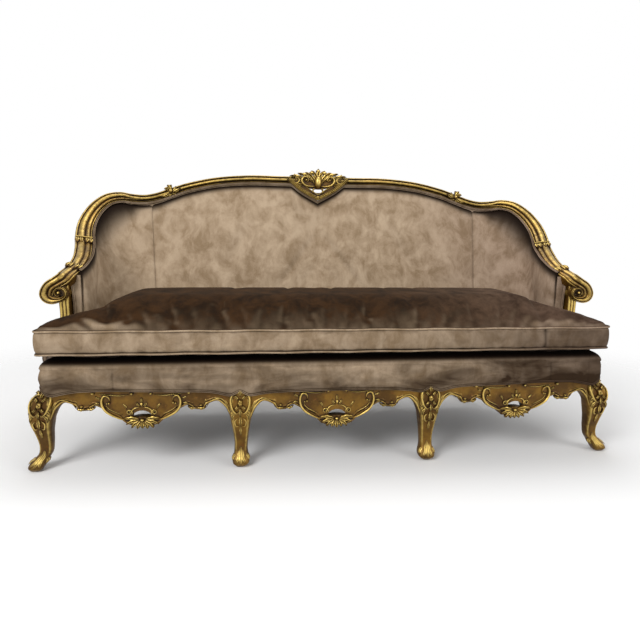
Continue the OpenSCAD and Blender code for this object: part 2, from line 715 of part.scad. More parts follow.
// The leaf spray over each shoulder joint of the top rail, bent along it
// Place along the spray, then its lower and upper edge
spray_shares = [
    [-1.00, -0.12, -0.06], [-0.70, -0.37, 0.34], [-0.30, -0.38, 0.50],
    [-0.10, -0.38, 1.00], [0.16, -0.38, 0.78], [0.30, -0.38, 0.42],
    [0.70, -0.37, 0.30], [1.00, -0.22, -0.16]];
spray_h = 40;
spray_relief = 9;
function spray_ring(s) = let(
    k = shoulder_at * top_steps,
    c = point(rail_at(top_line[k][0] + s[0] * spray_len / 2)),
    f = across(top_line, k),
    low = top_rail_d / 2 + gap,
    high = low + spray_relief)
    [for (q = [[s[1], low], [s[2], low], [s[2], high], [s[1], high]])
        c + f[0] * q[0] * spray_h + f[1] * q[1]];
module shoulder_carving() {
    placed(gilt) skin([for (s = spray_shares) spray_ring(s)]);
}
module shoulder_carving_right() { shoulder_carving(); }
module shoulder_carving_left() { mirror([1, 0, 0]) shoulder_carving(); }

// Inside the back
tacking_h = 40;
tacking_rise = 20;
tacking_low = deck_h + tacking_rise;
tacking_d = 16;
tacking_stations = 6;
function rake_y(z) = (crest_y - frame_back_y) * (z - rail_top_h) / (crest_h - rail_top_h);
function tacking_y(x) = rake_y(tacking_low + tacking_h / 2) + wall_y(abs(x));
// Three lengths of rail between the posts, bent to the line of the wall
module tacking_rail() {
    edges = [[-rear_x, -inner_x], [-inner_x, inner_x], [inner_x, rear_x]];
    placed(timber) for (e = edges) skin([for (k = [0 : tacking_stations]) let(
        x = lerp(e[0] + post_w / 2, e[1] - post_w / 2, k / tacking_stations),
        front = tacking_y(x) - tacking_d / 2,
        back = tacking_y(x) + tacking_d / 2)
        [[x, front, tacking_low], [x, back, tacking_low],
            [x, back, tacking_low + tacking_h], [x, front, tacking_low + tacking_h]]]);
}
back_web_step = 196;
module back_webbing() {
    count = floor((min(rear_x, back_turn_x) - post_w) / back_web_step);
    placed(jute) for (k = [-count : count]) {
        x = k * back_web_step;
        low_y = tacking_y(abs(x) + web_w / 2) - tacking_d / 2 - gap;
        top_z = rail_at(abs(x) + web_w / 2)[2] - crest_rail_w / 2 - crest_drop(abs(x)) - gap
            - post_gap;
        ends = [[tacking_low + tacking_h / 2, low_y], [tacking_low + tacking_h, low_y],
            [top_z, rail_at(abs(x))[1] - post_d / 2]];
        skin([for (e = ends) [
            [x - web_w / 2, e[1] - web_t, e[0]], [x + web_w / 2, e[1] - web_t, e[0]],
            [x + web_w / 2, e[1], e[0]], [x - web_w / 2, e[1], e[0]]]]);
    }
}

// Padding of the back and wings
crest_v_reach_share = 0.53;
crest_v_drop = crest_h - crest_rail_w / 2 - crest_low + 2 * gap;
function crest_drop(x) = crest_v_drop * max(0, 1 - x / (crest_carving_w * crest_v_reach_share));
pad_lift = 6;
pad_low = deck_h + soft_gap + pad_lift;
pad_front_n = 21;
pad_back_n = 17.5;
pad_wall = post_d / 2 + web_t + gap;
welt_room = 2 * welt_r + 3 * gap;
pad_face_steps = 6;
pad_bulge = 10;
function drop_z(p, i) = [p[0], p[1], p[2] - crest_drop(point(top_line[i])[0])];
function pad_top(i) = drop_z(beside(top_line, i, welt_room, pad_front_n), i);
// How far the padding stands in from the wall at its foot: at least as far as its top
function top_inset(i) = let(q = pad_top(i)) ([q[0], q[1]] - wall[i]) * inward(i);
function pad_foot(i) = at_z(wall_in(i, max(pad_t(i), top_inset(i))), pad_low);
// The inner face of one cross section, from its foot to its top
function pad_face(i) = [for (s = [0 : pad_face_steps]) let(t = s / pad_face_steps)
    lerp(pad_foot(i), pad_top(i), t) + concat(inward(i), [0]) * pad_bulge * sin(half_turn * t)];
// One cross section of the padding: down its outer face, then up its inner face
function pad_ring(i) = let(
    low_out = at_z(wall_in(i, pad_wall), pad_low),
    top_out = drop_z(beside(top_line, i, welt_room,
        lerp(pad_back_n, -pad_back_n, lean_share(i))), i))
    turned(concat([top_out, low_out], pad_face(i)));
module back_pad() {
    n = seam_at * top_steps;
    placed(velvet) skin([for (i = [-n : n])
        i < 0 ? flip(pad_ring(-i)) : pad_ring(i)]);
}
module wing_pad() {
    first = seam_at * top_steps;
    placed(velvet) translate([soft_gap, 0, 0])
        skin([for (i = [first : wall_end]) pad_ring(i)]);
}
module wing_pad_right() { wing_pad(); }
module wing_pad_left() { mirror([1, 0, 0]) wing_pad(); }

// The double welt beside the show wood, as one cord
welt_sides = 6;
function cord_ring(c, w, f, r, sides) = [for (j = [0 : sides - 1]) let(a = turn * j / sides)
    c + w * r * cos(a) + f * r * sin(a)];
module back_welt() {
    n = wall_end;
    function ring(i) = let(f = across(top_line, i),
        c = drop_z(beside(top_line, i, welt_r + gap, pad_front_n), i))
        cord_ring(c, f[0], f[1], welt_r, welt_sides);
    placed(velvet) skin([for (i = [-n : n]) i < 0 ? flip(ring(-i)) : ring(i)]);
}

// The velvet that covers the outside of the back and of the arms
cover_out_share = 0.20;
cover_turn_share = 0.30;
cover_levels = 4;
function cover_ring(i) = let(
    k = lean_share(i), f = across(top_line, i), p = point(top_line[i]), w = top_line[i][3],
    cover = post_d / 2 + gap,
    drop = [0, 0, crest_drop(p[0])],
    // the edge first passes behind the rail, then moves out over its back
    behind = clamp01(k / cover_turn_share),
    over = clamp01((k - cover_turn_share) / (1 - cover_turn_share)),
    top = p - f[0] * lerp(w / 2 + post_gap, -w * cover_out_share, over)
        - f[1] * lerp(cover, top_rail_d / 2 + post_gap, behind) - drop,
    low = at_z(wall_in(i, -rear_leg_w / 2 - gap), rail_top_h + gap),
    skin_t = concat(inward(i), [0]) * cloth_t)
    concat([low],
        [for (s = [0 : cover_levels]) lerp(low, top, s / cover_levels) - skin_t],
        [for (s = [cover_levels : -1 : 1]) lerp(low, top, s / cover_levels)]);
module outside_back_cover() {
    n = seam_at * top_steps;
    placed(velvet) skin([for (i = [-n : n]) i < 0 ? flip(cover_ring(-i)) : cover_ring(i)]);
}
module outside_arm_cover() {
    first = seam_at * top_steps;
    placed(velvet) translate([soft_gap, 0, 0])
        skin([for (i = [first : wall_end]) cover_ring(i)]);
}
module outside_arm_cover_right() { outside_arm_cover(); }
module outside_arm_cover_left() { mirror([1, 0, 0]) outside_arm_cover(); }

// The seat
web_step = 125;
web_long_count = 3;
web_edge = 30;
module seat_webbing() {
    y0 = spring_rail_y + soft_gap;
    y1 = back_front_y + seat_rail_t - soft_gap;
    end_x = min(rear_x, back_turn_x);
    count = floor((end_x - web_w) / web_step);
    placed(jute) {
        for (k = [-count : count])
            translate([k * web_step - web_w / 2, y0, rail_low_h - web_t])
                cube([web_w, y1 - y0, web_t]);
        for (k = [1 : web_long_count])
            translate([-end_x, lerp(y0, y1, k / (web_long_count + 1)) - web_w / 2,
                rail_low_h - 2 * web_t])
                cube([2 * end_x, web_w, web_t]);
    }
}

// Coil springs, each as the hourglass sleeve that its turns fill
spring_rows = 3;
spring_step = 124;
spring_edge = 42;
spring_wire = 3;
spring_waist_share = 0.68;
cavity_h = deck_h - stuffing_t;
hessian_t = 1.6;
hessian_h = cavity_h - gap - hessian_t;
spring_h = hessian_h - gap - rail_low_h;
module seat_spring() {
    rs = [spring_r, spring_r * spring_waist_share, spring_r];
    rotate_extrude($fn = round_n) polygon(concat(
        [for (k = [0 : 2]) [rs[k], k * spring_h / 2]],
        [for (k = [2 : -1 : 0]) [rs[k] - spring_wire, k * spring_h / 2]]));
}
module seat_springs() {
    y0 = spring_rail_y + seat_rail_t + spring_r + web_edge / 2;
    y1 = back_front_y - block_t - spring_r - spring_edge;
    first = stretcher_t / 2 + spring_r + gap;
    outer_count = floor((min(rear_x, back_turn_x) - inner_x - first - spring_r)
        / spring_step);
    inner_count = floor((inner_x - first) / spring_step);
    xs = concat(
        [for (k = [-inner_count : inner_count]) k * spring_step],
        [for (side = [-1, 1]) for (k = [0 : outer_count])
            side * (inner_x + first + k * spring_step)]);
    placed(steel) for (x = xs) for (r = [0 : spring_rows - 1])
        translate([x, lerp(y0, y1, r / (spring_rows - 1)), rail_low_h]) seat_spring();
}

// The seat's outline from above, half of it, from the middle of the front
deck_front_y = -2;
deck_side_in = 13;
deck_half_w = half_span - deck_side_in;
skirt_t = 9;
skirt_bulge = 3;
deck_wall_gap = rear_leg_w / 2 + skirt_bulge + gap;
deck_ear_back = 52;
deck_notch = 38;
deck_front_shares = [0.00, 0.14, 0.28, 0.42, 0.56, 0.70, 0.84, 0.94];
deck_corner_r = 16;
bend_share = 0.30;
mid_share = 0.5;
wall_stride = 2;
function deck_half() = concat(
    [for (s = deck_front_shares) [s * deck_half_w, deck_front_y]],
    [[deck_half_w - deck_corner_r, deck_front_y],
        [deck_half_w - deck_corner_r * bend_share, deck_front_y + deck_corner_r * bend_share],
        [deck_half_w, deck_front_y + deck_corner_r],
        [deck_half_w, deck_ear_back],
        [deck_half_w - deck_notch, deck_ear_back + deck_corner_r]],
    [for (i = [len(wall) - 1 : -wall_stride : 0]) wall_in(i, deck_wall_gap)]);
// The whole outline, with the left half the mirror of the right one
function whole(half) = concat(half,
    [for (i = [len(half) - 1 : -1 : 0]) if (half[i][0] > 0) [-half[i][0], half[i][1]]]);
function outline_heading(p, i) = let(n = len(p)) unit(p[(i + 1) % n] - p[(i + n - 1) % n]);
function shrunk(p, d) = [for (i = [0 : len(p) - 1]) let(h = outline_heading(p, i))
    p[i] + [-h[1], h[0]] * d];
function drawn_in(p, t, sx, sy) = [for (q = p) let(s = [q[0] * sx, sy]) s + (q - s) * t];
function lifted(p, z) = [for (q = p) [q[0], q[1], z]];

skirt_rise = 4;
skirt_low = show_h + skirt_rise;
spine_x_share = 0.62;
spine_y = 110;
cavity_share = 0.86;
cavity_y = 280;
roll_depth = 60;
deck_top_shares = [0.97, 0.90, 0.78, 0.60];
deck_flat_share = 0.36;
skirt_shares = [0.12, 0.50, 0.86];
hessian_in = 3;
function deck_low(p) = p[1] < deck_front_y + deck_corner_r * mid_share
    ? skirt_low : rail_top_h + gap;
function deck_top(p) = lerp(deck_roll_h, deck_h, ease((p[1] - deck_front_y) / roll_depth));
function on_deck(p, t) = [for (q = p) [q[0], q[1], lerp(deck_low(q), deck_top(q), t)]];
module seat_deck() {
    outline = whole(deck_half());
    cavity = drawn_in(outline, cavity_share, spine_x_share, cavity_y);
    shell_low = rail_top_h + 2 * gap;
    skirt_in = shrunk(outline, skirt_t);
    placed(velvet) skin(concat(
        [lifted(cavity, cavity_h), lifted(cavity, shell_low),
            lifted(skirt_in, shell_low)],
        [[for (k = [0 : len(outline) - 1])
            [skirt_in[k][0], skirt_in[k][1], deck_low(outline[k])]]],
        [[for (q = outline) [q[0], q[1], deck_low(q)]]],
        [for (t = skirt_shares) on_deck(shrunk(outline, -skirt_bulge), t)],
        [for (t = deck_top_shares)
            on_deck(drawn_in(outline, t, spine_x_share, cavity_y), 1)],
        [lifted(drawn_in(outline, deck_flat_share, spine_x_share, cavity_y), deck_h)]));
}
module spring_hessian() {
    cavity = drawn_in(whole(deck_half()), cavity_share, spine_x_share, cavity_y);
    placed(jute) translate([0, 0, hessian_h]) linear_extrude(hessian_t)
        polygon(shrunk(cavity, hessian_in));
}
module deck_welt() {
    y = head_front_y - welt_r - gap;
    ends = deck_half_w - deck_corner_r;
    steps = 24;
    placed(velvet) skin([for (k = [0 : steps])
        cord_ring([lerp(-ends, ends, k / steps), y, skirt_low - welt_r - gap],
            [0, 1, 0], [0, 0, 1], welt_r, welt_sides)]);
}
dust_t = 1;
module dust_cover() {
    half = concat([[0, spring_rail_y + web_edge / 2], [rear_x, spring_rail_y + web_edge / 2]],
        [for (i = [len(wall) - 1 : -2 * wall_stride : 0]) wall_in(i, web_edge)]);
    placed(black_cloth)
        translate([0, 0, rail_low_h - 2 * web_t - gap - dust_t])
            linear_extrude(dust_t) polygon(whole(half));
}

// The loose cushion
cushion_clear = 5;
cushion_front_y = -cushion_overhang;
ear_room = 50;
ear_back_y = arm_front_y - ear_room;
cushion_corner_r = 18;
rake_share = 0.26;
rake_start_y = 400;
cushion_front_shares = [0.00, 0.13, 0.27, 0.41, 0.55, 0.69, 0.82, 0.92];
// The cushion keeps clear of the padding at its foot and of the wings at every height
wing_inner_x = min([for (i = [wing_full_at * top_steps : wall_end]) for (q = pad_face(i)) q[0]]);
function body_point(i) = let(p = wall_in(i, pad_t(i) + cushion_clear))
    [min(p[0], wing_inner_x - cushion_clear), p[1]];
function cushion_half() = concat(
    [for (s = cushion_front_shares) [s * ear_half_w, cushion_front_y]],
    [[ear_half_w - cushion_corner_r, cushion_front_y],
        [ear_half_w - cushion_corner_r * bend_share,
            cushion_front_y + cushion_corner_r * bend_share],
        [ear_half_w, cushion_front_y + cushion_corner_r],
        [ear_half_w, lerp(cushion_front_y, ear_back_y, mid_share)],
        [ear_half_w, ear_back_y - cushion_corner_r],
        [ear_half_w - cushion_corner_r * bend_share, ear_back_y - cushion_corner_r * bend_share],
        [ear_half_w - cushion_corner_r, ear_back_y],
        [body_point(wall_end)[0] + cushion_corner_r, ear_back_y]],
    [for (i = [wall_end : -wall_stride : 0]) body_point(i)]);
cushion_outline = whole(cushion_half());
// How much further out a place of the edge lies at a height above the lower seam
function raked(p, z) = [for (i = [0 : len(p) - 1]) let(
    h = outline_heading(p, i),
    k = rake_share
        * ease((p[i][1] - rake_start_y) / (frame_back_y - back_pad_t - rake_start_y)))
    p[i] - [-h[1], h[0]] * k * (z - cushion_seam_h)];
seam_tuck = 1.2;
seam_in = 2 * piping_r + seam_tuck;
boxing_in = 1.5;
crown_shares = [0.94, 0.84, 0.70, 0.52, 0.32];
crown_flat_share = 0.12;
crown_front_power = 2.4;
crown_side_power = 2.8;
crown_back_power = 5;
sag_power = 4;
cushion_seam_top = cushion_seam_h + boxing_h;
cushion_sag = cushion_seam_h - deck_h - soft_gap;
boxing_levels_shares = [0.00, 0.18, 0.50, 0.82, 1.00];
boxing_in_shares = [1.00, 0.00, -0.10, 0.00, 1.00];
function boxing_ring(k) = let(z = cushion_seam_h + boxing_h * boxing_levels_shares[k])
    lifted(shrunk(raked(cushion_outline, z),
        lerp(boxing_in, seam_in, boxing_in_shares[k])), z);
function crown_ring(t, base, rise) = let(
    p = shrunk(raked(cushion_outline, base), seam_in),
    q = drawn_in(p, t, spine_x_share, spine_y))
    [for (i = [0 : len(q) - 1]) let(
        far = (p[i][1] - spine_y) / (frame_back_y - back_pad_t - spine_y),
        power = far < 0 ? crown_front_power : lerp(crown_side_power, crown_back_power, ease(far)))
        [q[i][0], q[i][1], base + rise * (1 - pow(t, rise > 0 ? power : sag_power))]];
module seat_cushion() {
    placed(velvet) skin(concat(
        [lifted(drawn_in(shrunk(cushion_outline, seam_in), crown_shares[4], spine_x_share,
            spine_y), deck_h + soft_gap)],
        [for (k = [2, 1, 0]) crown_ring(crown_shares[k], cushion_seam_h, -cushion_sag)],
        [for (k = [0 : len(boxing_levels_shares) - 1]) boxing_ring(k)],
        [for (t = crown_shares) crown_ring(t, cushion_seam_top, cushion_crown)],
        [lifted(drawn_in(shrunk(raked(cushion_outline, cushion_seam_top), seam_in),
            crown_flat_share, spine_x_share, spine_y), cushion_seam_top + cushion_crown)]));
}
piping_sides = 6;
function piping_rings(z) = let(p = shrunk(raked(cushion_outline, z), piping_r))
    [for (i = [0 : len(p) - 1]) let(h = outline_heading(p, i))
        cord_ring([p[i][0], p[i][1], z], [-h[1], h[0], 0], [0, 0, 1], piping_r, piping_sides)];
module cushion_piping_top() { placed(velvet) closed_skin(piping_rings(cushion_seam_top)); }
module cushion_piping_bottom() { placed(velvet) closed_skin(piping_rings(cushion_seam_h)); }

// The zip along the back of the boxing
zip_share = 0.50;
zip_h = 22;
zip_t = 1.6;
module cushion_zip() {
    mid = cushion_seam_h + boxing_h / 2;
    function edge(z) = shrunk(raked(cushion_outline, z),
        lerp(boxing_in, seam_in, boxing_in_shares[2]) - gap);
    low = edge(mid - zip_h / 2);
    high = edge(mid + zip_h / 2);
    back = [for (i = [0 : len(low) - 1])
        if (low[i][1] > spine_y && abs(low[i][0]) < zip_share * half_span) i];
    placed(black_cloth) skin([for (i = back) [
        at_z(high[i], mid + zip_h / 2), at_z(high[i] + [0, zip_t], mid + zip_h / 2),
        at_z(low[i] + [0, zip_t], mid - zip_h / 2), at_z(low[i], mid - zip_h / 2)]]);
}

front_rail_left();
front_rail_centre();
front_rail_right();
side_rail_left();
side_rail_right();
back_seat_rail();
seat_stretchers();
corner_blocks();
corner_block_screws();
front_leg_outer_left();
front_leg_outer_right();
front_leg_inner_left();
front_leg_inner_right();
rear_leg_outer_left();
rear_leg_outer_right();
rear_leg_inner_left();
rear_leg_inner_right();
foot_glides();
knee_carvings();
apron_carving_left();
apron_carving_centre();
apron_carving_right();
arm_support_left();
arm_support_right();
arm_left();
arm_right();
wing_rail_left();
wing_rail_right();
crest_rail();
crest_carving();
shoulder_carving_left();
shoulder_carving_right();
tacking_rail();
seat_webbing();
seat_springs();
spring_hessian();
seat_deck();
deck_welt();
dust_cover();
back_webbing();
back_pad();
wing_pad_left();
wing_pad_right();
back_welt();
outside_back_cover();
outside_arm_cover_left();
outside_arm_cover_right();
seat_cushion();
cushion_piping_top();
cushion_piping_bottom();
cushion_zip();
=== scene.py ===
# %% [markdown]
# # A carved and gilded cabriole sofa
# The sofa is a shaped wooden frame, carved and gilded, with padded velvet on its
# back, wings and seat, and one long loose cushion. The CAD frame gives every
# piece its place and size. Here each visible piece gets the surface and the
# finish that the eye sees.
#
# Every shape below is worked out with numpy: a curve is carried along a path, or
# a height is given over a sheet, for all the points at once.

import json
import math

import bmesh
import bpy
import numpy as np
from mathutils import Matrix, Vector


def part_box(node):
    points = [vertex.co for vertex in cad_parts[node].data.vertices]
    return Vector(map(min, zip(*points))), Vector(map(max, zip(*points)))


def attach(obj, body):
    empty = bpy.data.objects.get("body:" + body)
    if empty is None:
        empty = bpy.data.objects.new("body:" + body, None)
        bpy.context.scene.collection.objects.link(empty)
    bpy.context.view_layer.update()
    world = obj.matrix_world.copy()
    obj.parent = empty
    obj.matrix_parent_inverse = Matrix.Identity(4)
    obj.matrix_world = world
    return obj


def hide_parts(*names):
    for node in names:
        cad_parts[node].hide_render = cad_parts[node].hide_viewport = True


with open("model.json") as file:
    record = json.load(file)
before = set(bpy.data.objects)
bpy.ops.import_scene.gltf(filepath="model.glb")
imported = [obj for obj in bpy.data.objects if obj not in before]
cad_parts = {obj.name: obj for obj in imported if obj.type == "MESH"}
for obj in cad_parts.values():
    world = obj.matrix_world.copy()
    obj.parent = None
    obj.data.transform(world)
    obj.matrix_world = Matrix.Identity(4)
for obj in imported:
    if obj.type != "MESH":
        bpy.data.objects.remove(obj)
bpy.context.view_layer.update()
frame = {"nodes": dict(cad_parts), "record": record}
scene = bpy.context.scene
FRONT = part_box("front_rail_centre")[0][1] - 0.013

# %% [markdown]
# The photograph was taken a little to the left of the middle and from above the
# seat. The camera's place, turn and lens were worked out from pairs of points
# that lie equally far left and right on the real sofa, such as its feet.

# %% Camera
yaw, pitch, roll = (math.radians(a) for a in (6.44, -9.70, 0.73))
ahead = Vector((math.sin(yaw) * math.cos(pitch), math.cos(yaw) * math.cos(pitch), math.sin(pitch)))
level = Vector((math.cos(yaw), -math.sin(yaw), 0))
upright = level.cross(ahead)
right = level * math.cos(roll) + upright * math.sin(roll)
up = upright * math.cos(roll) - level * math.sin(roll)
camera = bpy.data.objects.new("camera", bpy.data.cameras.new("camera"))
camera.data.lens = 28.125
camera.data.sensor_width = 36
camera.matrix_world = Matrix.Translation((-0.240, FRONT - 1.582, 0.773)) @ Matrix(
    (right, up, -ahead)).transposed().to_4x4()
scene.collection.objects.link(camera)
scene.camera = camera
print("camera at", [round(v, 3) for v in camera.location])

# %% [markdown]
# ## Tools for shapes
# A moulding is a section carried along a path, and a carved leaf is one too, with
# a section that swells and shrinks. So a few tools do most of the work: one draws
# a smooth curve through a short table of places, one gives the directions along
# and across a path, and one gathers grids of points into a mesh.

# %% Curves
def smooth(table, steps):
    """Catmull-Rom curve through a table's rows: each span blends its two ends and
    its two neighbours by cubic weights of how far along it a place lies."""
    p = np.asarray(table, float)
    i = np.arange(len(p) - 1)
    a, b, c, d = p[np.maximum(i - 1, 0)], p[i], p[i + 1], p[np.minimum(i + 2, len(p) - 1)]
    t = (np.arange(steps) / steps)[None, :, None]
    a, b, c, d = (q[:, None] for q in (a, b, c, d))
    q = 0.5 * (2 * b + (c - a) * t + (2 * a - 5 * b + 4 * c - d) * t**2
               + (3 * b - a - 3 * c + d) * t**3)
    return np.vstack([q.reshape(-1, p.shape[1]), p[-1:]])


def unit(v):
    """Each vector divided by its length."""
    return v / np.maximum(np.linalg.norm(v, axis=-1, keepdims=True), 1e-9)


def headings(p):
    """The direction of travel at each place: the way from its neighbour before to
    its neighbour after."""
    return unit(np.gradient(p, axis=0))


def lerp(a, b, t):
    """The value a share t of the way from a to b."""
    return a + (b - a) * t


def ease(t):
    """A slow start and a slow end between 0 and 1: t squared times 3 - 2t."""
    t = np.clip(t, 0, 1)
    return t * t * (3 - 2 * t)


def dome(q):
    """A circle's height at a share q of the way from its middle to its edge: the
    root of one less q squared, and nothing beyond the edge."""
    return np.sqrt(np.clip(1 - q**2, 0, 1))


def bump(s, centre, half, high):
    """Half an ellipse standing on a line: high at its centre, nothing beyond half."""
    return high * dome((s - centre) / half)


def evenly(p, count, closed=False):
    """The same path walked in equal steps of its own length."""
    q = np.vstack([p, p[:1]]) if closed else p
    along = np.r_[0, np.cumsum(np.linalg.norm(np.diff(q, axis=0), axis=1))]
    want = np.linspace(0, along[-1], count + 1 if closed else count)
    if closed:
        want = want[:-1]
    return np.stack([np.interp(want, along, q[:, k]) for k in range(q.shape[1])], -1)


# %% Outlines on the ground
def right_of(way):
    """Directions turned a quarter to the right: x and y change places, and then y
    changes its sign."""
    return way[:, ::-1] * (1, -1)


def round_way(line):
    """The direction of travel at each place of a closed outline."""
    return unit(np.roll(line, -1, 0) - np.roll(line, 1, 0))


def offset(line, amount):
    """A closed outline moved inwards by an amount at each place."""
    return line - right_of(round_way(line)) * np.reshape(amount, (-1, 1))


def blurred(line, reach, wide):
    """A closed outline's values averaged with their neighbours by a bell curve."""
    weight = np.exp(-(np.arange(-reach, reach + 1) / wide)**2)
    around = np.concatenate([line[-reach:], line, line[:reach]])
    return np.column_stack([np.convolve(around[:, k], weight / weight.sum(), "valid")
                            for k in (0, 1)])


def level_at(line, z):
    """An outline lifted to a height, one for all places or one for each."""
    return np.column_stack([line, np.broadcast_to(z, len(line))])


# %% Meshes
class Shape:
    """Gathers grids of points into one mesh. A grid's columns go round a section
    and join up; its first and last rows are shut by a fan about their middle, or
    joined when it is looped. Wear runs from 0 in a hollow to 1 on a ridge; on the
    velvet the same mark is painted shade, darker below 0.5."""

    def __init__(self):
        self.points, self.quads, self.tris, self.wear, self.count = [], [], [], [], 0

    def add(self, grid, wear=0.5, looped=False, shut=True):
        rows, cols = grid.shape[:2]
        index = self.count + np.arange(rows * cols).reshape(rows, cols)
        after = np.roll(index, -1, 1)
        low, high = (index, np.roll(index, -1, 0)) if looped else (index[:-1], index[1:])
        low2, high2 = (after, np.roll(after, -1, 0)) if looped else (after[:-1], after[1:])
        self.quads.append(np.stack([low, low2, high2, high], -1).reshape(-1, 4))
        self.points.append(grid.reshape(-1, 3))
        self.wear.append(np.broadcast_to(wear, (rows, cols)).ravel())
        self.count += rows * cols
        if not looped and shut:
            for row, turned in ((0, True), (rows - 1, False)):
                self.points.append(grid[row].mean(0)[None])
                self.wear.append(np.full(1, float(np.mean(self.wear[-1]))))
                ring, beyond = index[row], after[row]
                tri = np.stack([ring, beyond, np.full(cols, self.count)], -1)
                self.tris.append(tri[:, ::-1] if turned else tri)
                self.count += 1
        return self

    def arrays(self):
        tris = np.vstack(self.tris) if self.tris else np.zeros((0, 3), int)
        return np.vstack(self.points), np.vstack(self.quads), tris, np.concatenate(self.wear)


def object_from(name, shape, slot, stands_for, body="frame", mirrored=False, crisp=40):
    """Puts a shape's arrays into a mesh object that has a slot's finish, rides on a
    CAD body and stands for CAD nodes."""
    points, quads, tris, wear = shape.arrays()
    points = points + (0, FRONT, 0)
    if mirrored:
        points = points * (-1, 1, 1)
    mesh = bpy.data.meshes.new(name)
    mesh.vertices.add(len(points))
    mesh.vertices.foreach_set("co", points.astype(np.float32).ravel())
    loops = np.concatenate([quads.ravel(), tris.ravel()])
    mesh.loops.add(len(loops))
    mesh.loops.foreach_set("vertex_index", loops.astype(np.int32))
    starts = np.r_[np.arange(len(quads)) * 4, len(quads) * 4 + np.arange(len(tris)) * 3]
    mesh.polygons.add(len(starts))
    mesh.polygons.foreach_set("loop_start", starts.astype(np.int32))
    mesh.update(calc_edges=True)
    mesh.attributes.new("wear", "FLOAT", "POINT").data.foreach_set("value", wear.astype(np.float32))
    outward(mesh, crisp)
    mesh.materials.append(finishes[slot])
    obj = bpy.data.objects.new(name, mesh)
    scene.collection.objects.link(obj)
    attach(obj, body)
    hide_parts(*stands_for)
    print(f"{name}: {len(points)} points, {len(quads) * 2 + len(tris)} triangles")
    return obj


def outward(mesh, crisp):
    """Turns every closed piece of a mesh outwards and shades it round, but for
    edges sharper than crisp degrees."""
    work = bmesh.new()
    work.from_mesh(mesh)
    bmesh.ops.remove_doubles(work, verts=work.verts, dist=1e-6)
    bmesh.ops.recalc_face_normals(work, faces=work.faces)
    if work.calc_volume(signed=True) < 0:
        bmesh.ops.reverse_faces(work, faces=work.faces)
    work.to_mesh(mesh)
    work.free()
    mesh.polygons.foreach_set("use_smooth", np.ones(len(mesh.polygons), bool))
    mesh.set_sharp_from_angle(angle=math.radians(crisp))


def pair(name, shape, slot, stands_for, crisp=40):
    """The right-hand piece, and the left-hand one as its mirror image."""
    return [object_from(f"{name}_{side}", shape, slot, [f"{node}_{side}" for node in stands_for],
                        mirrored=side == "left", crisp=crisp) for side in ("right", "left")]


# %% [markdown]
# ## Tools for finishes
# A finish is a small network of shader nodes. Written as sums it would be long,
# so one class wraps a number that flows between nodes and lets Python's own signs
# add the nodes, and another adds any other node in one call.

# %% Shader sums
class Signal:
    """A value flowing out of a node. Sums on it add Math nodes."""

    def __init__(self, finish, socket):
        self.finish, self.socket = finish, socket

    def sum(self, operation, first, second):
        return self.finish.add("Math", {"operation": operation}, {0: first, 1: second})

    def __add__(self, other):
        return self.sum("ADD", self, other)

    def __mul__(self, other):
        return self.sum("MULTIPLY", self, other)

    def __sub__(self, other):
        return self.sum("SUBTRACT", self, other)

    def __rsub__(self, other):
        return self.sum("SUBTRACT", other, self)

    __radd__, __rmul__ = __add__, __mul__


class Finish:
    """One material: its nodes are added one call each, settings before sockets.
    The first is the place on the object, in metres, that the noises are read at."""

    def __init__(self, name, **fixed):
        self.material = bpy.data.materials.new(name)
        self.material.use_nodes = True
        self.tree = self.material.node_tree
        self.shader = self.tree.nodes["Principled BSDF"]
        for socket, value in fixed.items():
            self.shader.inputs[socket.replace("_", " ")].default_value = value
        self.where = self.add("TexCoord", out=3)

    def add(self, kind, settings=None, sockets=None, out=0):
        node = self.tree.nodes.new("ShaderNode" + kind)
        for key, value in (settings or {}).items():
            setattr(node, key, value)
        for key, value in (sockets or {}).items():
            if isinstance(value, Signal):
                self.tree.links.new(value.socket, node.inputs[key])
            else:
                node.inputs[key].default_value = value
        return Signal(self, node.outputs[out])

    def mix(self, factor, first, second, blend="MIX"):
        first, second = ((*c, 1) if isinstance(c, tuple) else c for c in (first, second))
        return self.add("Mix", {"data_type": "RGBA", "blend_type": blend},
                        {0: factor, 6: first, 7: second}, out=2)

    def noise(self, scale, detail, rough, twist=0.0, by=None):
        """Soft noise, with its place counted faster or slower along each axis."""
        where = self.where
        if by:
            where = self.add("Mapping", sockets={"Vector": where, "Scale": by})
        return self.add("TexNoise", sockets={"Vector": where, "Scale": scale, "Detail": detail,
                                             "Roughness": rough, "Distortion": twist})

    def part(self, vector, axis):
        """One of a vector's three numbers."""
        return self.add("SeparateXYZ", sockets={0: vector}, out=axis)

    def band(self, value, low, high):
        """0 below low, 1 above high, and smooth between them."""
        return self.add("MapRange", {"interpolation_type": "SMOOTHSTEP"},
                        {"Value": value, "From Min": low, "From Max": high})

    def show(self, colour, roughness, metallic, relief, strength, deep):
        """Links what varies to the shader's sockets, fine relief as a bump."""
        raised = self.add("Bump", sockets={"Height": relief, "Strength": strength,
                                           "Distance": deep})
        for socket, value in (("Base Color", colour), ("Roughness", roughness),
                              ("Metallic", metallic), ("Normal", raised)):
            if value is not None:
                self.tree.links.new(value.socket, self.shader.inputs[socket])
        return self.material


def paint(red, green, blue):
    """A colour as the screen shows it, 0 to 255, turned into the light it stands
    for: below a small value divided by 12.92, and above it raised to 2.4."""
    c = np.array((red, green, blue)) / 255
    return tuple(float(v) for v in np.where(c < 0.04045, c / 12.92, ((c + 0.055) / 1.055)**2.4))
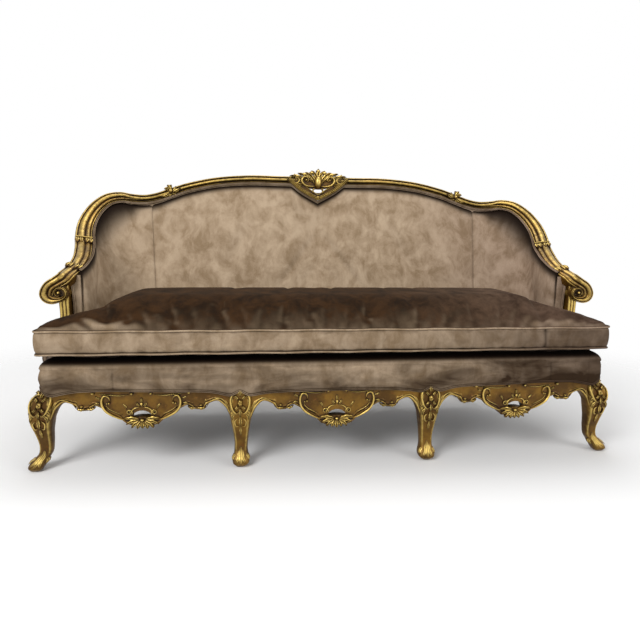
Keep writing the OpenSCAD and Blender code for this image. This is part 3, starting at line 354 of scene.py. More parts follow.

# %% [markdown]
# ## The gilding
# Old gilding is gold leaf over a coloured clay and gesso. The leaf is rubbed
# bright on the ridges, duller and more olive on the plain ground, and in the
# hollows a brown wash has settled. It could be painted by hand on each carving.
# Here a mark of how high each point stands in its moulding, and a sum of how shut
# in it is, choose among the three colours, so every ridge and hollow gets its own.
# The pale ridge colour is partly rubbed leaf and partly a painted highlight, and
# it grows where a place is open.

# %% Gilding
def gilding():
    g = Finish("gilding", Coat_Weight=0.12, Coat_Roughness=0.25)
    wear = g.add("Attribute", {"attribute_name": "wear"}, out=2)
    open_air = g.add("AmbientOcclusion", {"samples": 6, "only_local": True},
                     {"Distance": 0.014}, out=1)
    cloud = g.noise(9.0, 4.0, 0.6)
    rub = g.noise(60.0, 5.0, 0.65, 0.4)
    speck = g.noise(420.0, 2.0, 0.5)
    # bright: rubbed leaf on the ridges and a painted highlight, stronger in open places
    bright = g.band(wear + (rub - 0.5) * 0.7 + (open_air - 0.8) * 0.5, 0.52, 1.15)
    # shut: the brown wash settled in the hollows, and painted shadow where the mark falls below 0,
    # as at the supports' feet
    shut = g.band(1.0 - open_air + (0.5 - wear) * 0.30 + (rub - 0.5) * 0.45, 0.14, 0.74)
    ground = g.mix(g.band(cloud, 0.38, 0.66), paint(78, 52, 12), paint(126, 92, 30))
    ground = g.mix(g.band(rub, 0.52, 0.70) * 0.45, ground, paint(104, 56, 14))
    # the pale gold of the ridges, partly a painted highlight
    colour = g.mix(bright * 0.82, ground, paint(220, 190, 104))
    colour = g.mix(shut * 0.93, colour, paint(34, 18, 5))
    colour = g.mix(g.band(speck, 0.66, 0.74) * 0.35, colour, paint(60, 36, 10))
    dull = 0.42 + shut * 0.30 - bright * 0.10 + (speck - 0.5) * 0.18
    return g.show(colour, dull, 0.80 - shut * 0.55, rub * 0.6 + speck * 0.4, 0.25, 0.0015)


gilt = gilding()
print("gilding has", len(gilt.node_tree.nodes), "nodes")

# %% [markdown]
# ## The velvet
# Velvet's pile stands up like short grass. Seen along the pile it is dark, and
# seen across it is pale, so the upright faces of this sofa look taupe and the top
# of the seat looks dark brown. Where a hand has brushed the pile it lies in
# another direction and leaves a mottled mark. The tone here follows which way a
# face looks in the room, so the dark brown on faces that look up is painted shade.
# So is a darker, cooler tone towards the right, a darker tone low on the cushion's
# border and the seat's front, and the dark laid by each piece's mark under the
# rail, in seams, folds and gaps. Soft noise lays the brushed marks over it.

# %% Velvet
def velvet_cloth():
    v = Finish("velvet", Sheen_Weight=0.02, Sheen_Roughness=0.45,
               Sheen_Tint=(0.95, 0.88, 0.78, 1), Specular_IOR_Level=0.04)
    side = v.part(v.where, 0)
    height = v.part(v.where, 2)
    skyward = v.part(v.add("NewGeometry", out=1), 2)
    mottle = v.noise(13.0, 5.0, 0.62, 0.5, by=(1.0, 1.0, 0.8))
    stroke = v.noise(48.0, 3.0, 0.6, 0.5, by=(1.0, 1.0, 0.35))
    pile = v.noise(900.0, 2.0, 0.5)
    wear = v.add("Attribute", {"attribute_name": "wear"}, out=2)
    brushed = v.band(mottle * 0.78 + stroke * 0.22, 0.32, 0.68)
    to_right = v.band(side, 0.1, 0.9)
    # painted shade: faces that look up take a dark brown in place of the upright taupe, a little
    # lighter towards the right
    upright = v.mix(brushed, paint(140, 118, 92), paint(188, 166, 140))
    flat = v.mix(brushed, paint(24, 13, 4), paint(58, 38, 20))
    flat = v.mix(to_right, flat, v.mix(brushed, paint(56, 40, 28), paint(100, 80, 64)))
    top_shade_mask = v.band(skyward + (mottle - 0.5) * 0.30, 0.34, 0.84)
    colour = v.mix(top_shade_mask, upright, flat)
    # painted shade: a darker, cooler copy of the colour towards the right
    shaded_copy = v.mix(1.0, colour, paint(232, 228, 236), "MULTIPLY")
    colour = v.mix(v.band(side, 0.25, 1.0) * 0.9, colour, shaded_copy)
    # painted shade on the cushion's border and the seat's front: darker to the right, lower down
    # the seat and in soft patches
    drape_shade = v.noise(6.0, 3.0, 0.55, 1.0, by=(1.0, 1.0, 2.6))
    border = v.band(0.473 - height, 0.0, 0.012)
    deck = v.band(0.385 - height, 0.0, 0.03)
    painted_low_shade = (border * (0.19 + to_right * 0.52 + (drape_shade - 0.5) * 0.5)
           + deck * (0.16 + (drape_shade - 0.5) * 0.9 + v.band(0.345 - height, 0.0, 0.06) * 0.26))
    colour = v.mix(painted_low_shade * (1.0 - top_shade_mask), colour, paint(52, 38, 26))
    # painted shade where the mark is below 0.5: under the rail, in seams, folds and gaps, and under
    # the cushion
    colour = v.mix(1.0 - v.band(wear, 0.0, 0.5), colour, paint(22, 13, 8))
    colour = v.mix(v.band(pile, 0.35, 0.75) * 0.16, colour, paint(24, 15, 8))
    return v.show(colour, 0.78 + (stroke - 0.5) * 0.2, None,
                  stroke * 0.35 + pile * 0.65, 0.35, 0.0008)


velvet = velvet_cloth()
print("velvet has", len(velvet.node_tree.nodes), "nodes")

# %% [markdown]
# ## The finishes out of sight
# Under the seat and inside the back are plain beech rails, jute webbing and
# hessian, steel springs and glides, and a black cloth that keeps out dust. They
# show from below or through a gap, so each has its grain or weave at true size.

# %% Beech, jute, steel and black cloth
def beech():
    b = Finish("beech", Specular_IOR_Level=0.35)
    grain = b.noise(4.0, 5.0, 0.6, 0.6, by=(3.0, 22.0, 60.0))
    fleck = b.noise(1.6, 2.0, 0.5, by=(30.0, 160.0, 400.0))
    colour = b.mix(b.band(grain, 0.32, 0.70), paint(166, 122, 78), paint(206, 168, 120))
    colour = b.mix(b.band(fleck, 0.60, 0.72) * 0.5, colour, paint(128, 84, 48))
    return b.show(colour, 0.55 + (grain - 0.5) * 0.2, None,
                  grain * 0.7 + fleck * 0.3, 0.2, 0.0006)


def woven(name, light, dark, threads, rough):
    """Plain weave: two sets of waves cross, and the higher one shows."""
    w = Finish(name, Specular_IOR_Level=0.15)
    place = [w.part(w.where, k) for k in (0, 1, 2)]
    rounds = 2 * math.pi * threads
    across = w.add("Math", {"operation": "SINE"}, {0: (place[0] + place[2]) * rounds})
    along = w.add("Math", {"operation": "SINE"}, {0: (place[1] + place[2]) * rounds})
    cross = across * along * 0.5 + 0.5
    slub = w.noise(55.0, 4.0, 0.6)
    colour = w.mix(w.band(cross * 0.6 + slub * 0.4, 0.2, 0.8), dark, light)
    return w.show(colour, rough + (slub - 0.5) * 0.15, None, cross, 0.5, 0.0006)


def steel_wire():
    s = Finish("steel", Metallic=0.9)
    cloud = s.noise(40.0, 4.0, 0.6)
    scratch = s.noise(120.0, 2.0, 0.5, by=(1.0, 1.0, 12.0))
    colour = s.mix(s.band(cloud, 0.4, 0.7), paint(140, 141, 143), paint(92, 84, 74))
    return s.show(colour, 0.30 + cloud * 0.25, None, scratch, 0.12, 0.0004)


finishes = {"gilt_wood": gilt, "velvet": velvet, "timber": beech(),
            "jute": woven("jute", paint(176, 148, 102), paint(112, 88, 54), 420, 0.85),
            "steel": steel_wire(),
            "black_cloth": woven("black_cloth", paint(44, 42, 42), paint(20, 19, 20), 900, 0.9)}
for part in frame["record"]["subparts"]:
    node = frame["nodes"][part["node"]]
    node.data.materials.clear()
    node.data.materials.append(finishes[part["material_slot"]])
print(len(frame["nodes"]), "CAD nodes have a finish")

# %% [markdown]
# ## The line of the top rail
# One moulded rail runs from the middle of the back, over the shoulders, down the
# wings and forward along the arms. It could be bent from a straight moulding with
# a curve modifier, but it also widens and leans over on its way. So its places,
# width and lean are a table, a smooth curve runs through them, and at each place
# two directions are known: towards the rail's outer edge, and out of its face.

# %% The top rail's path
HALF = 0.951                        # from the middle to the outer legs' line
ARM_BACK, CREST_BACK = 0.180, 0.718  # how far behind the front plane the rail runs
ARM_UP, CREST_UP = 0.622, 1.011      # and how high, at the arm's front and the crest
NARROW, WIDE, DEEP = 0.031, 0.060, 0.042
# place across, back and up as shares; then the width's share and the lean's share
rail_table = np.array([
    [0.000, 1.000, 1.000, 0.00, 0.00], [0.168, 1.006, 0.998, 0.00, 0.00],
    [0.316, 1.013, 1.000, 0.00, 0.00], [0.463, 1.019, 0.970, 0.00, 0.00],
    [0.589, 1.020, 0.906, 0.02, 0.00], [0.674, 1.013, 0.838, 0.02, 0.00],
    [0.737, 0.992, 0.783, 0.00, 0.00], [0.789, 0.966, 0.756, 0.02, 0.02],
    [0.842, 0.929, 0.756, 0.10, 0.06], [0.884, 0.885, 0.762, 0.22, 0.14],
    [0.926, 0.822, 0.728, 0.38, 0.28], [0.958, 0.753, 0.648, 0.55, 0.42],
    [0.976, 0.678, 0.552, 0.72, 0.55], [0.982, 0.595, 0.450, 0.88, 0.66],
    [0.976, 0.511, 0.352, 0.98, 0.74], [0.962, 0.428, 0.270, 1.00, 0.80],
    [0.944, 0.316, 0.196, 1.00, 0.85], [0.931, 0.204, 0.124, 0.96, 0.88],
    [0.932, 0.102, 0.056, 0.90, 0.90], [0.944, 0.000, 0.000, 0.84, 0.90]])
share_x, share_y, share_z, wider, leans = rail_table.T
places = np.stack([share_x * HALF, lerp(ARM_BACK, CREST_BACK, share_y),
                   lerp(ARM_UP, CREST_UP, share_z), lerp(NARROW, WIDE, wider),
                   leans * 90, np.full(len(rail_table), DEEP), wider], -1)
# At the arm's front the rail turns outwards and winds in round the volute's eye:
# place, width, lean in degrees, depth and kind of moulding
volute = np.array([
    [0.904, 0.164, 0.615, 0.049, 62, 0.042, 1.0], [0.921, 0.155, 0.606, 0.041, 38, 0.040, 1.0],
    [0.943, 0.153, 0.591, 0.041, 55, 0.038, 1.0], [0.953, 0.153, 0.569, 0.046, 88, 0.037, 1.0],
    [0.949, 0.153, 0.556, 0.041, 112, 0.036, 1.0], [0.936, 0.152, 0.549, 0.031, 146, 0.034, 1.0],
    [0.921, 0.151, 0.5495, 0.022, 178, 0.032, 1.0], [0.905, 0.150, 0.553, 0.015, 207, 0.030, 1.0],
    [0.8945, 0.149, 0.561, 0.012, 240, 0.029, 1.0], [0.892, 0.148, 0.573, 0.011, 272, 0.028, 1.0],
    [0.898, 0.148, 0.584, 0.011, 312, 0.028, 1.0], [0.910, 0.147, 0.588, 0.010, 355, 0.027, 1.0],
    [0.921, 0.147, 0.583, 0.009, 402, 0.027, 1.0], [0.9245, 0.146, 0.573, 0.008, 450, 0.026, 1.0],
    [0.919, 0.146, 0.564, 0.007, 502, 0.025, 1.0], [0.910, 0.145, 0.563, 0.005, 548, 0.024, 1.0]])
STEPS = 16
SHOULDER, COLLAR, ARM_FRONT = 5 * STEPS, 15 * STEPS, 19 * STEPS
rail = smooth(np.vstack([places, volute]), STEPS)
rail_place, rail_width, rail_deep, moulding = rail[:, :3], rail[:, 3], rail[:, 5], rail[:, 6]
lean = np.radians(rail[:, 4])
travel = headings(rail_place)
leaning = np.stack([np.sin(lean), 0 * lean, np.cos(lean)], -1)
outer_way = unit(leaning - travel * (leaning * travel).sum(-1, keepdims=True))
face_way = np.cross(travel, outer_way)


def beside(i, inwards, outwards):
    """Places off the rail: in from its inner edge, and out of its face."""
    return (rail_place[i] - outer_way[i] * (rail_width[i, None] / 2 + inwards)
            + face_way[i] * outwards)


def both_ways(ring, wear=0.5):
    """Rows from the middle to the right, led in by their mirror image, and the same
    for their wear."""
    whole = np.concatenate([ring[:0:-1] * (-1, 1, 1), ring])
    return whole, wear if np.isscalar(wear) else np.concatenate([wear[:0:-1], wear])


print("top rail:", len(rail_place), "places from the crest to the arm's front")

# %% [markdown]
# The rail's face is carved with long mouldings. On the crest it has a pale fillet,
# a groove, one broad round band and a bead. On the wings and arms it has two
# round reeds with a deep groove between them and a thin bead beside the velvet.
# Each is half an ellipse standing on the section, and the two sections blend at
# the shoulder, under a carved spray.

# %% The moulded rail
def rail_rings(i):
    """Sections at places i: heights over the width are sums of half ellipses, the
    crest's fading into the arm's, closed by two rounded sides and a back."""
    s = np.linspace(-0.5, 0.5, 57)
    crest = (0.14 + bump(s, -0.40, 0.085, 0.16) + bump(s, -0.02, 0.26, 0.34)
             + bump(s, 0.385, 0.10, 0.22))
    arm = (0.22 + bump(s, -0.44, 0.052, 0.09) + bump(s, -0.235, 0.150, 0.18)
           + bump(s, 0.135, 0.220, 0.24) + bump(s, 0.43, 0.065, 0.12))
    change = ease((moulding[i] - 0.01) / 0.20)[:, None]
    high = np.minimum(lerp(crest, arm, change), 0.5)
    turn = np.array([[0.5, 0.02], [0.5, -0.30], [0.47, -0.43], [0.38, -0.5], [0.0, -0.5],
                     [-0.38, -0.5], [-0.47, -0.43], [-0.5, -0.30], [-0.5, 0.02]])
    across = np.r_[s, turn[:, 0]]
    deep = np.hstack([high, np.broadcast_to(turn[:, 1], (len(i), len(turn)))])
    wear = np.hstack([0.10 + 0.62 * (high - 0.12) / 0.34 + 0.26 * (np.abs(s) > 0.36),
                      np.full((len(i), len(turn)), 0.28)])
    ring = (rail_place[i][:, None]
            + outer_way[i][:, None] * (across[:, None] * rail_width[i, None, None])
            + face_way[i][:, None] * (deep * rail_deep[i, None])[..., None])
    return ring, wear


crest_rail = Shape().add(*both_ways(*rail_rings(np.arange(0, SHOULDER + 1))))
object_from("crest_rail_moulded", crest_rail, "gilt_wood", ["crest_rail"])
wing_rail = Shape().add(*rail_rings(np.arange(SHOULDER, COLLAR + 1)))
pair("wing_rail_moulded", wing_rail, "gilt_wood", ["wing_rail"])

# %% [markdown]
# ## Carving
# The carver's leaves, scrolls and buds are raised a few millimetres off the wood.
# Each could be sculpted, but they all share a few forms. So a leaf, a scroll and a
# bud are each made once, flat, as places across and up with a height, and a
# carrier then lays them on the surface that they belong to.

# %% Leaves, scrolls and buds
SINK = 0.003  # how far a carving's base sits below the surface


def strip(spine, half, high, columns=13, shape="round", lift=0.0):
    """A raised strip along a flat path: its section is half an ellipse, round,
    reeded or veined, over a flat base that sits below the surface. Returns places
    as across, up and height, and the wear."""
    spine = np.asarray(spine, float)
    n = len(spine)
    half, high, lift = (np.broadcast_to(np.asarray(v, float), n)[:, None]
                        for v in (half, high, lift))
    side = headings(spine) @ np.array([[0, 1], [-1, 0]])
    s = np.linspace(-1, 1, columns)
    form = {"round": dome(s),
            "reeded": dome(s)**0.5 * (0.62 + 0.38 * np.abs(np.cos(1.5 * np.pi * s))),
            "veined": (1 - np.abs(s)**3)**0.5 * (1 - 0.55 * np.exp(-(s / 0.16)**2))}[shape]
    base = np.linspace(1, -1, 5)[1:-1] * 0.8
    spread = np.r_[s, base]
    rise = np.hstack([high * form + lift, np.full((n, len(base)), -SINK)])
    rise[:, [0, columns - 1]] = -SINK
    grid = np.concatenate([spine[:, None] + side[:, None] * (spread[:, None] * half[:, :, None]),
                           rise[..., None]], -1)
    wear = np.hstack([np.broadcast_to(form, (n, columns)) * np.clip(high / high.max(), 0, 1),
                      np.zeros((n, len(base)))])
    return grid, wear


def leaf(start, end, bend, half, high, lobes=3, lift=0.0):
    """A carved leaf from start to end: its spine bows to one side, its width swells
    and is notched into lobes, and its tip lifts off the ground."""
    t = np.linspace(0, 1, 26)
    start, end = np.array(start, float), np.array(end, float)
    way = end - start
    side = np.array([-way[1], way[0]])
    spine = start + way * t[:, None] + side * (bend * np.sin(np.pi * t))[:, None]
    swell = np.sin(np.pi * np.clip(t * 0.94 + 0.04, 0, 1))**0.7
    notch = 1 - 0.30 * np.abs(np.cos(lobes * np.pi * t))**3 * (t > 0.15)
    return strip(spine, half * swell * notch, high * np.sin(np.pi * (0.12 + 0.80 * t))**0.6,
                 shape="veined", lift=lift * t**2)


def scroll(centre, start_r, end_r, start_turn, turns, half, high):
    """A volute: its radius shrinks evenly as it turns, in and out by the sign of
    its turns, and the strip narrows with it."""
    t = np.linspace(0, 1, 70)
    r = lerp(start_r, end_r, t**0.85)
    a = 2 * np.pi * (start_turn + turns * t)
    spine = np.stack([centre[0] + r * np.cos(a), centre[1] + r * np.sin(a)], -1)
    taper = lerp(1.0, 0.5, t) * np.minimum(1, (t + 0.02) / 0.08)
    return strip(spine, half * taper, high * lerp(1, 0.8, t))


def bud(centre, half_w, half_h, high, ribs=0):
    """A domed bud: rows run round it and the height falls as a quarter ellipse
    from its middle to its edge. Ribs notch its outline into petals."""
    r = np.linspace(0.02, 1, 18)[:, None]
    a = np.linspace(0, 2 * np.pi, 48, endpoint=False)[None]
    rib = np.abs(np.sin(ribs * a / 2)) * r
    petal, rise = 1 - 0.16 * rib, high * dome(r) * (1 - 0.25 * rib)
    top = np.stack([centre[0] + half_w * r * petal * np.cos(a),
                    centre[1] + half_h * r * petal * np.sin(a), rise - SINK * (r >= 1)], -1)
    return top, rise / high


def curl(points, half, high):
    """A strip along a smooth path through a few places, thinner at its ends."""
    path = evenly(smooth(points, 14), 40)
    taper = lerp(0.35, 1, np.sin(np.pi * np.linspace(0, 1, 40))**0.5)
    return strip(path, half * taper, high * taper)


def laid(shape, pieces, carrier, mirror=False):
    """Lays flat carvings on a surface, and their mirror images too if asked."""
    for grid, wear in pieces:
        for side in ((1, -1) if mirror else (1,)):
            flat = grid * (side, 1, 1)
            shape.add(carrier(flat[..., 0], flat[..., 1], flat[..., 2]), wear)
    return shape


def on_front(y, middle=0.0, turn=0.0):
    """A carrier for an upright plane facing the front, turned about its middle."""
    def place(a, b, h):
        x = middle + a * math.cos(turn) + h * math.sin(turn)
        return np.stack([x, y + a * math.sin(turn) - h * math.cos(turn), b], -1)
    return place


def on_rail(i0):
    """A carrier that follows the top rail from place i0: along it, across it from
    its middle, and out of its face."""
    along = np.r_[0, np.cumsum(np.linalg.norm(np.diff(rail_place, axis=0), axis=1))]

    def place(a, b, h):
        j = np.interp(along[i0] + a, along, np.arange(len(along)))
        p, w, f = (np.stack([np.interp(j, np.arange(len(along)), v[:, k]) for k in range(3)], -1)
                   for v in (rail_place, outer_way, face_way))
        return p + w * b[..., None] + f * (h + 0.020)[..., None]
    return place

# %% [markdown]
# A collar of leaves is carved where the arm joins the wing, and a spray of leaves
# covers the joint at each shoulder.

# %% Shoulder sprays and arm collars
spray = [leaf((-0.004, -0.002), (-0.046, 0.003), 0.10, 0.0085, 0.008, 4, 0.002),
         leaf((0.004, -0.002), (0.050, -0.004), -0.12, 0.0085, 0.008, 4, 0.002),
         leaf((-0.004, 0.004), (-0.014, 0.026), -0.25, 0.0095, 0.008, 2, 0.003),
         leaf((0.002, 0.004), (0.006, 0.031), 0.15, 0.0100, 0.009, 2, 0.004),
         leaf((0.006, 0.002), (0.024, 0.020), 0.25, 0.0085, 0.007, 2, 0.002),
         leaf((-0.006, 0.000), (-0.028, 0.016), 0.20, 0.0070, 0.006, 2, 0.002),
         leaf((0.0, -0.006), (0.022, -0.016), -0.15, 0.0050, 0.006, 2),
         leaf((0.0, -0.006), (-0.022, -0.015), 0.15, 0.0050, 0.006, 2),
         bud((0.0, 0.004), 0.010, 0.012, 0.013, 6)]
pair("shoulder_spray", laid(Shape(), spray, on_rail(SHOULDER)), "gilt_wood",
     ["shoulder_carving"])
collar = [leaf((-0.014, b), (0.022, b * 1.04), 0.10 * np.sign(b), 0.0085, 0.005, 3, 0.0)
          for b in (-0.020, -0.007, 0.007, 0.020)]
collar += [strip(np.stack([np.full(24, -0.014), np.linspace(-0.0285, 0.0285, 24)], -1),
                 0.003, 0.006)]

# %% [markdown]
# ## The arm's rolled end
# The arm's rail comes forward, turns down and outwards and curls under round a
# volute. It is the same rail, whose path winds in as a spiral while it narrows, in
# front of a solid roll. A bud is the volute's eye.

# %% Arms
def arm_end():
    """Rings round the roll behind the volute, from its face to its back: one
    outline, drawn in a little more or less at each depth."""
    outline = np.array([
        [-0.62, 0.30], [-0.20, 0.96], [0.30, 1.22], [0.90, 1.04], [1.50, 0.62], [1.78, 0.10],
        [1.76, -0.36], [1.44, -0.74], [1.00, -0.92], [0.40, -0.98], [-0.20, -0.86],
        [-0.60, -0.52], [-0.72, -0.10]])
    loop = evenly(smooth(np.vstack([outline, outline[:1]]), 12)[:-1], 120, closed=True) * 0.036
    centre = np.array([0.958 * HALF, 0.574])
    rows = [np.stack([centre[0] + loop[:, 0] * size, np.full(120, back),
                      centre[1] + loop[:, 1] * size], -1)
            for back, size in ((0.146, 0.05), (0.147, 0.5), (0.148, 0.88), (0.153, 0.95),
                               (0.160, 0.955), (0.163, 0.93), (0.166, 0.955), (0.176, 0.98),
                               (0.186, 0.965), (0.194, 0.93), (0.200, 0.84), (0.202, 0.5))]
    worn_and_shaded = np.array([0.2, 0.2, 0.3, 0.7, 0.6, 0.1, 0.6, 0.75, 0.7, 0.5, 0.3, 0.2])
    return np.array(rows), np.broadcast_to(worn_and_shaded[:, None], (12, 120))


arm = Shape().add(*rail_rings(np.arange(COLLAR, len(rail_place)))).add(*arm_end())
laid(arm, collar, on_rail(COLLAR))
junction = [leaf((-0.030, b), (0.004, b * 1.12), 0.10 * np.sign(b), 0.0075, 0.006, 3, 0.0)
            for b in (-0.018, -0.006, 0.007, 0.018)]
laid(arm, junction, on_rail(ARM_FRONT - 10))
laid(arm, [bud((0.9115, 0.5735), 0.0055, 0.0055, 0.009)], on_front(0.1375))
pair("arm_moulded", arm, "gilt_wood", ["arm"])

# %% [markdown]
# The arm's support sweeps up from the front corner of the seat to the roll. Its
# face has three flutes with ridges between, and it swells at its foot.

# %% Arm supports
def support():
    """Sections up a leaning path. The front edge is set back by a cosine of the
    place across, which leaves the ridges between three flutes."""
    table = np.array([
        [0.00, 0.976, 0.64, 1.00, 0.96], [0.10, 0.984, 0.74, 1.06, 1.00],
        [0.24, 0.999, 0.84, 1.12, 1.00], [0.36, 0.990, 0.90, 1.02, 1.00],
        [0.50, 0.974, 0.95, 0.82, 0.96], [0.64, 0.958, 0.97, 0.74, 0.90],
        [0.80, 0.950, 0.99, 0.72, 0.86], [1.00, 0.951, 1.00, 0.72, 0.86],
        [1.18, 0.952, 1.02, 0.76, 0.86], [1.30, 0.952, 1.04, 0.78, 0.86]])
    q = smooth(table, 14)
    s = np.linspace(-0.5, 0.5, 41)
    ridge = np.abs(np.cos(3 * np.pi * s))**0.5
    front = -0.41 - 0.06 * ridge
    across = np.r_[s, 0.5, 0.46, 0.38, -0.38, -0.46, -0.5]
    deep = np.r_[front, 0.38, 0.46, 0.5, 0.5, 0.46, 0.38]
    z = lerp(0.3004, 0.5376, q[:, 0])
    rings = np.stack([q[:, 1, None] * HALF + across * (q[:, 3, None] * 0.046),
                      q[:, 2, None] * 0.172 + deep * (q[:, 4, None] * 0.040),
                      np.broadcast_to(z[:, None], (len(q), len(across)))], -1)
    # the foot, under the cushion, is painted dark as shadow: its mark falls far below 0 there
    return rings, np.r_[ridge, np.full(6, 0.3)] - 2.2 * (1 - ease((z[:, None] - 0.385) / 0.05))


pair("arm_support_fluted", Shape().add(*support()), "gilt_wood", ["arm_support"])

# %% [markdown]
# ## The crest
# A pierced carving sits on the middle of the top rail: a bud with leaves about it,
# a scroll on each side, and a reeded band that dips to a point over the velvet,
# with a crescent cut right through above it. The pierced ground is a sheet between
# two edges, so the crescent is simply left out between an upper and a lower sheet.

# %% Crest
def sheet_between(a, low, high, front, back=-0.012, count=22):
    """A slab between a lower and an upper edge over places a: its front stands at
    front(a, b), where b runs evenly from edge to edge, and its back is flat."""
    t = np.linspace(0, 1, count)
    b = low[:, None] + (high - low)[:, None] * t
    face = np.stack([np.broadcast_to(a[:, None], b.shape), b, front(a[:, None] + 0 * b, b)], -1)
    rear = face[:, [-1, count // 2, 0]].copy()
    rear[..., 2] = back
    return np.concatenate([face, rear], 1)


v_edge = smooth([[0.000, 0.9226], [0.021, 0.9325], [0.0475, 0.946], [0.074, 0.961],
                 [0.098, 0.979], [0.116, 0.997], [0.132, 1.010]], 10)
crest_web = []
for a0, a1, low, high in (
        (0.047, 0.128, None, None), (-0.128, -0.047, None, None),
        (-0.047, 0.047, None, "under"), (-0.047, 0.047, "over", None)):
    a = np.linspace(a0, a1, 30)
    edge = np.interp(np.abs(a), v_edge[:, 0], v_edge[:, 1]) + 0.003
    arch = 1 - (a / 0.0475)**2
    low = edge if low is None else 0.977 - 0.0068 * arch
    high = np.maximum(edge + 0.002, 1.006) if high is None else 0.977 - 0.0218 * arch
    crest_web.append((sheet_between(a, low, high, lambda a, b: 0.002 + 0 * a), 0.15))

v_path = np.concatenate([v_edge[:0:-1] * (-1, 1), v_edge]) + (0, 0.0075)
band = [strip(evenly(v_path, 90), 0.0085, 0.011, shape="reeded", columns=19),
        strip(evenly(v_path * (0.80, 1) + (0, 0.017), 70), 0.0025, 0.006)]
crest_leaves = [
    leaf((0.004, 0.985), (0.030, 1.050), 0.16, 0.0125, 0.010, 4, 0.004),
    leaf((0.012, 0.990), (0.058, 1.042), 0.14, 0.0120, 0.010, 4, 0.003),
    leaf((0.024, 1.000), (0.090, 1.038), 0.12, 0.0095, 0.010, 4, 0.003),
    leaf((0.050, 1.008), (0.126, 1.026), 0.10, 0.0080, 0.009, 4, 0.002),
    leaf((0.060, 0.996), (0.136, 1.006), -0.12, 0.0075, 0.008, 4, 0.002),
    leaf((0.010, 0.980), (0.020, 0.948), 0.20, 0.0050, 0.007, 2),
    leaf((0.070, 0.990), (0.100, 0.984), -0.20, 0.0055, 0.007, 3),
    curl([(0.010, 0.984), (0.034, 0.982), (0.058, 0.988), (0.072, 1.004), (0.066, 1.020),
          (0.050, 1.023), (0.042, 1.012), (0.048, 1.003), (0.055, 1.007)], 0.0055, 0.013),
    curl([(0.112, 1.000), (0.096, 0.996), (0.084, 1.004), (0.086, 1.016), (0.097, 1.019),
          (0.102, 1.011)], 0.0040, 0.010),
    bud((0.053, 1.009), 0.005, 0.005, 0.015), bud((0.028, 1.040), 0.0110, 0.0080, 0.014),
    bud((0.060, 1.034), 0.0120, 0.0075, 0.013), bud((0.092, 1.026), 0.0100, 0.0065, 0.011)]
crest_middle = [leaf((0.0, 1.018), (0.0, 1.058), 0.0, 0.0125, 0.011, 3, 0.004),
                bud((0.0, 1.047), 0.0105, 0.0080, 0.016),
                bud((0.0, 1.001), 0.017, 0.030, 0.024), bud((0.0, 0.937), 0.006, 0.008, 0.012)]
crest = Shape()
laid(crest, crest_web, on_front(0.6966))
laid(crest, band + crest_middle, on_front(0.6946))
laid(crest, crest_leaves, on_front(0.6946), mirror=True)
object_from("crest_carved", crest, "gilt_wood", ["crest_carving"])

# %% [markdown]
# ## The front rails
# Three carved rails join the four front legs. Each has a cut lower edge with a
# bead along it, a small pierced opening, and under that a shell. Its ground is the
# same kind of sheet between two edges, made in four parts so that the opening is
# left free, and the carving is laid on it. The outer two turn back a little.

# %% Front rails
edge_table = np.array([
    [0.000, 0.00], [0.087, 0.05], [0.174, 0.10], [0.260, 0.29], [0.347, 0.42], [0.417, 0.53],
    [0.503, 0.63], [0.556, 0.57], [0.590, 0.51], [0.677, 0.51], [0.730, 0.65], [0.816, 0.74],
    [0.868, 0.71], [0.930, 0.55], [0.972, 0.34], [1.000, 0.18]])
SHOW = 0.262     # heights in a bay are shares of the way from its lowest place up to this
LUNETTE = 0.035  # half the width of the opening
# Height of the welt over the rails' top, by distance from the sofa's middle
show_table = np.array([
    [0.000, 0.2665], [0.080, 0.2665], [0.1575, 0.2655], [0.230, 0.2615], [0.284, 0.2545],
    [0.303, 0.2610], [0.320, 0.2690], [0.337, 0.2610], [0.356, 0.2555], [0.400, 0.2660],
    [0.448, 0.2710], [0.542, 0.2735], [0.635, 0.2760], [0.727, 0.2790], [0.818, 0.2780],
    [0.870, 0.2710], [0.902, 0.2650], [0.922, 0.2730], [0.936, 0.2880]])
show_line = smooth(show_table, 8)


def show_height(x):
    """Height of the welt that follows the top of the carved rails."""
    return np.interp(np.abs(x), show_line[:, 0], show_line[:, 1])


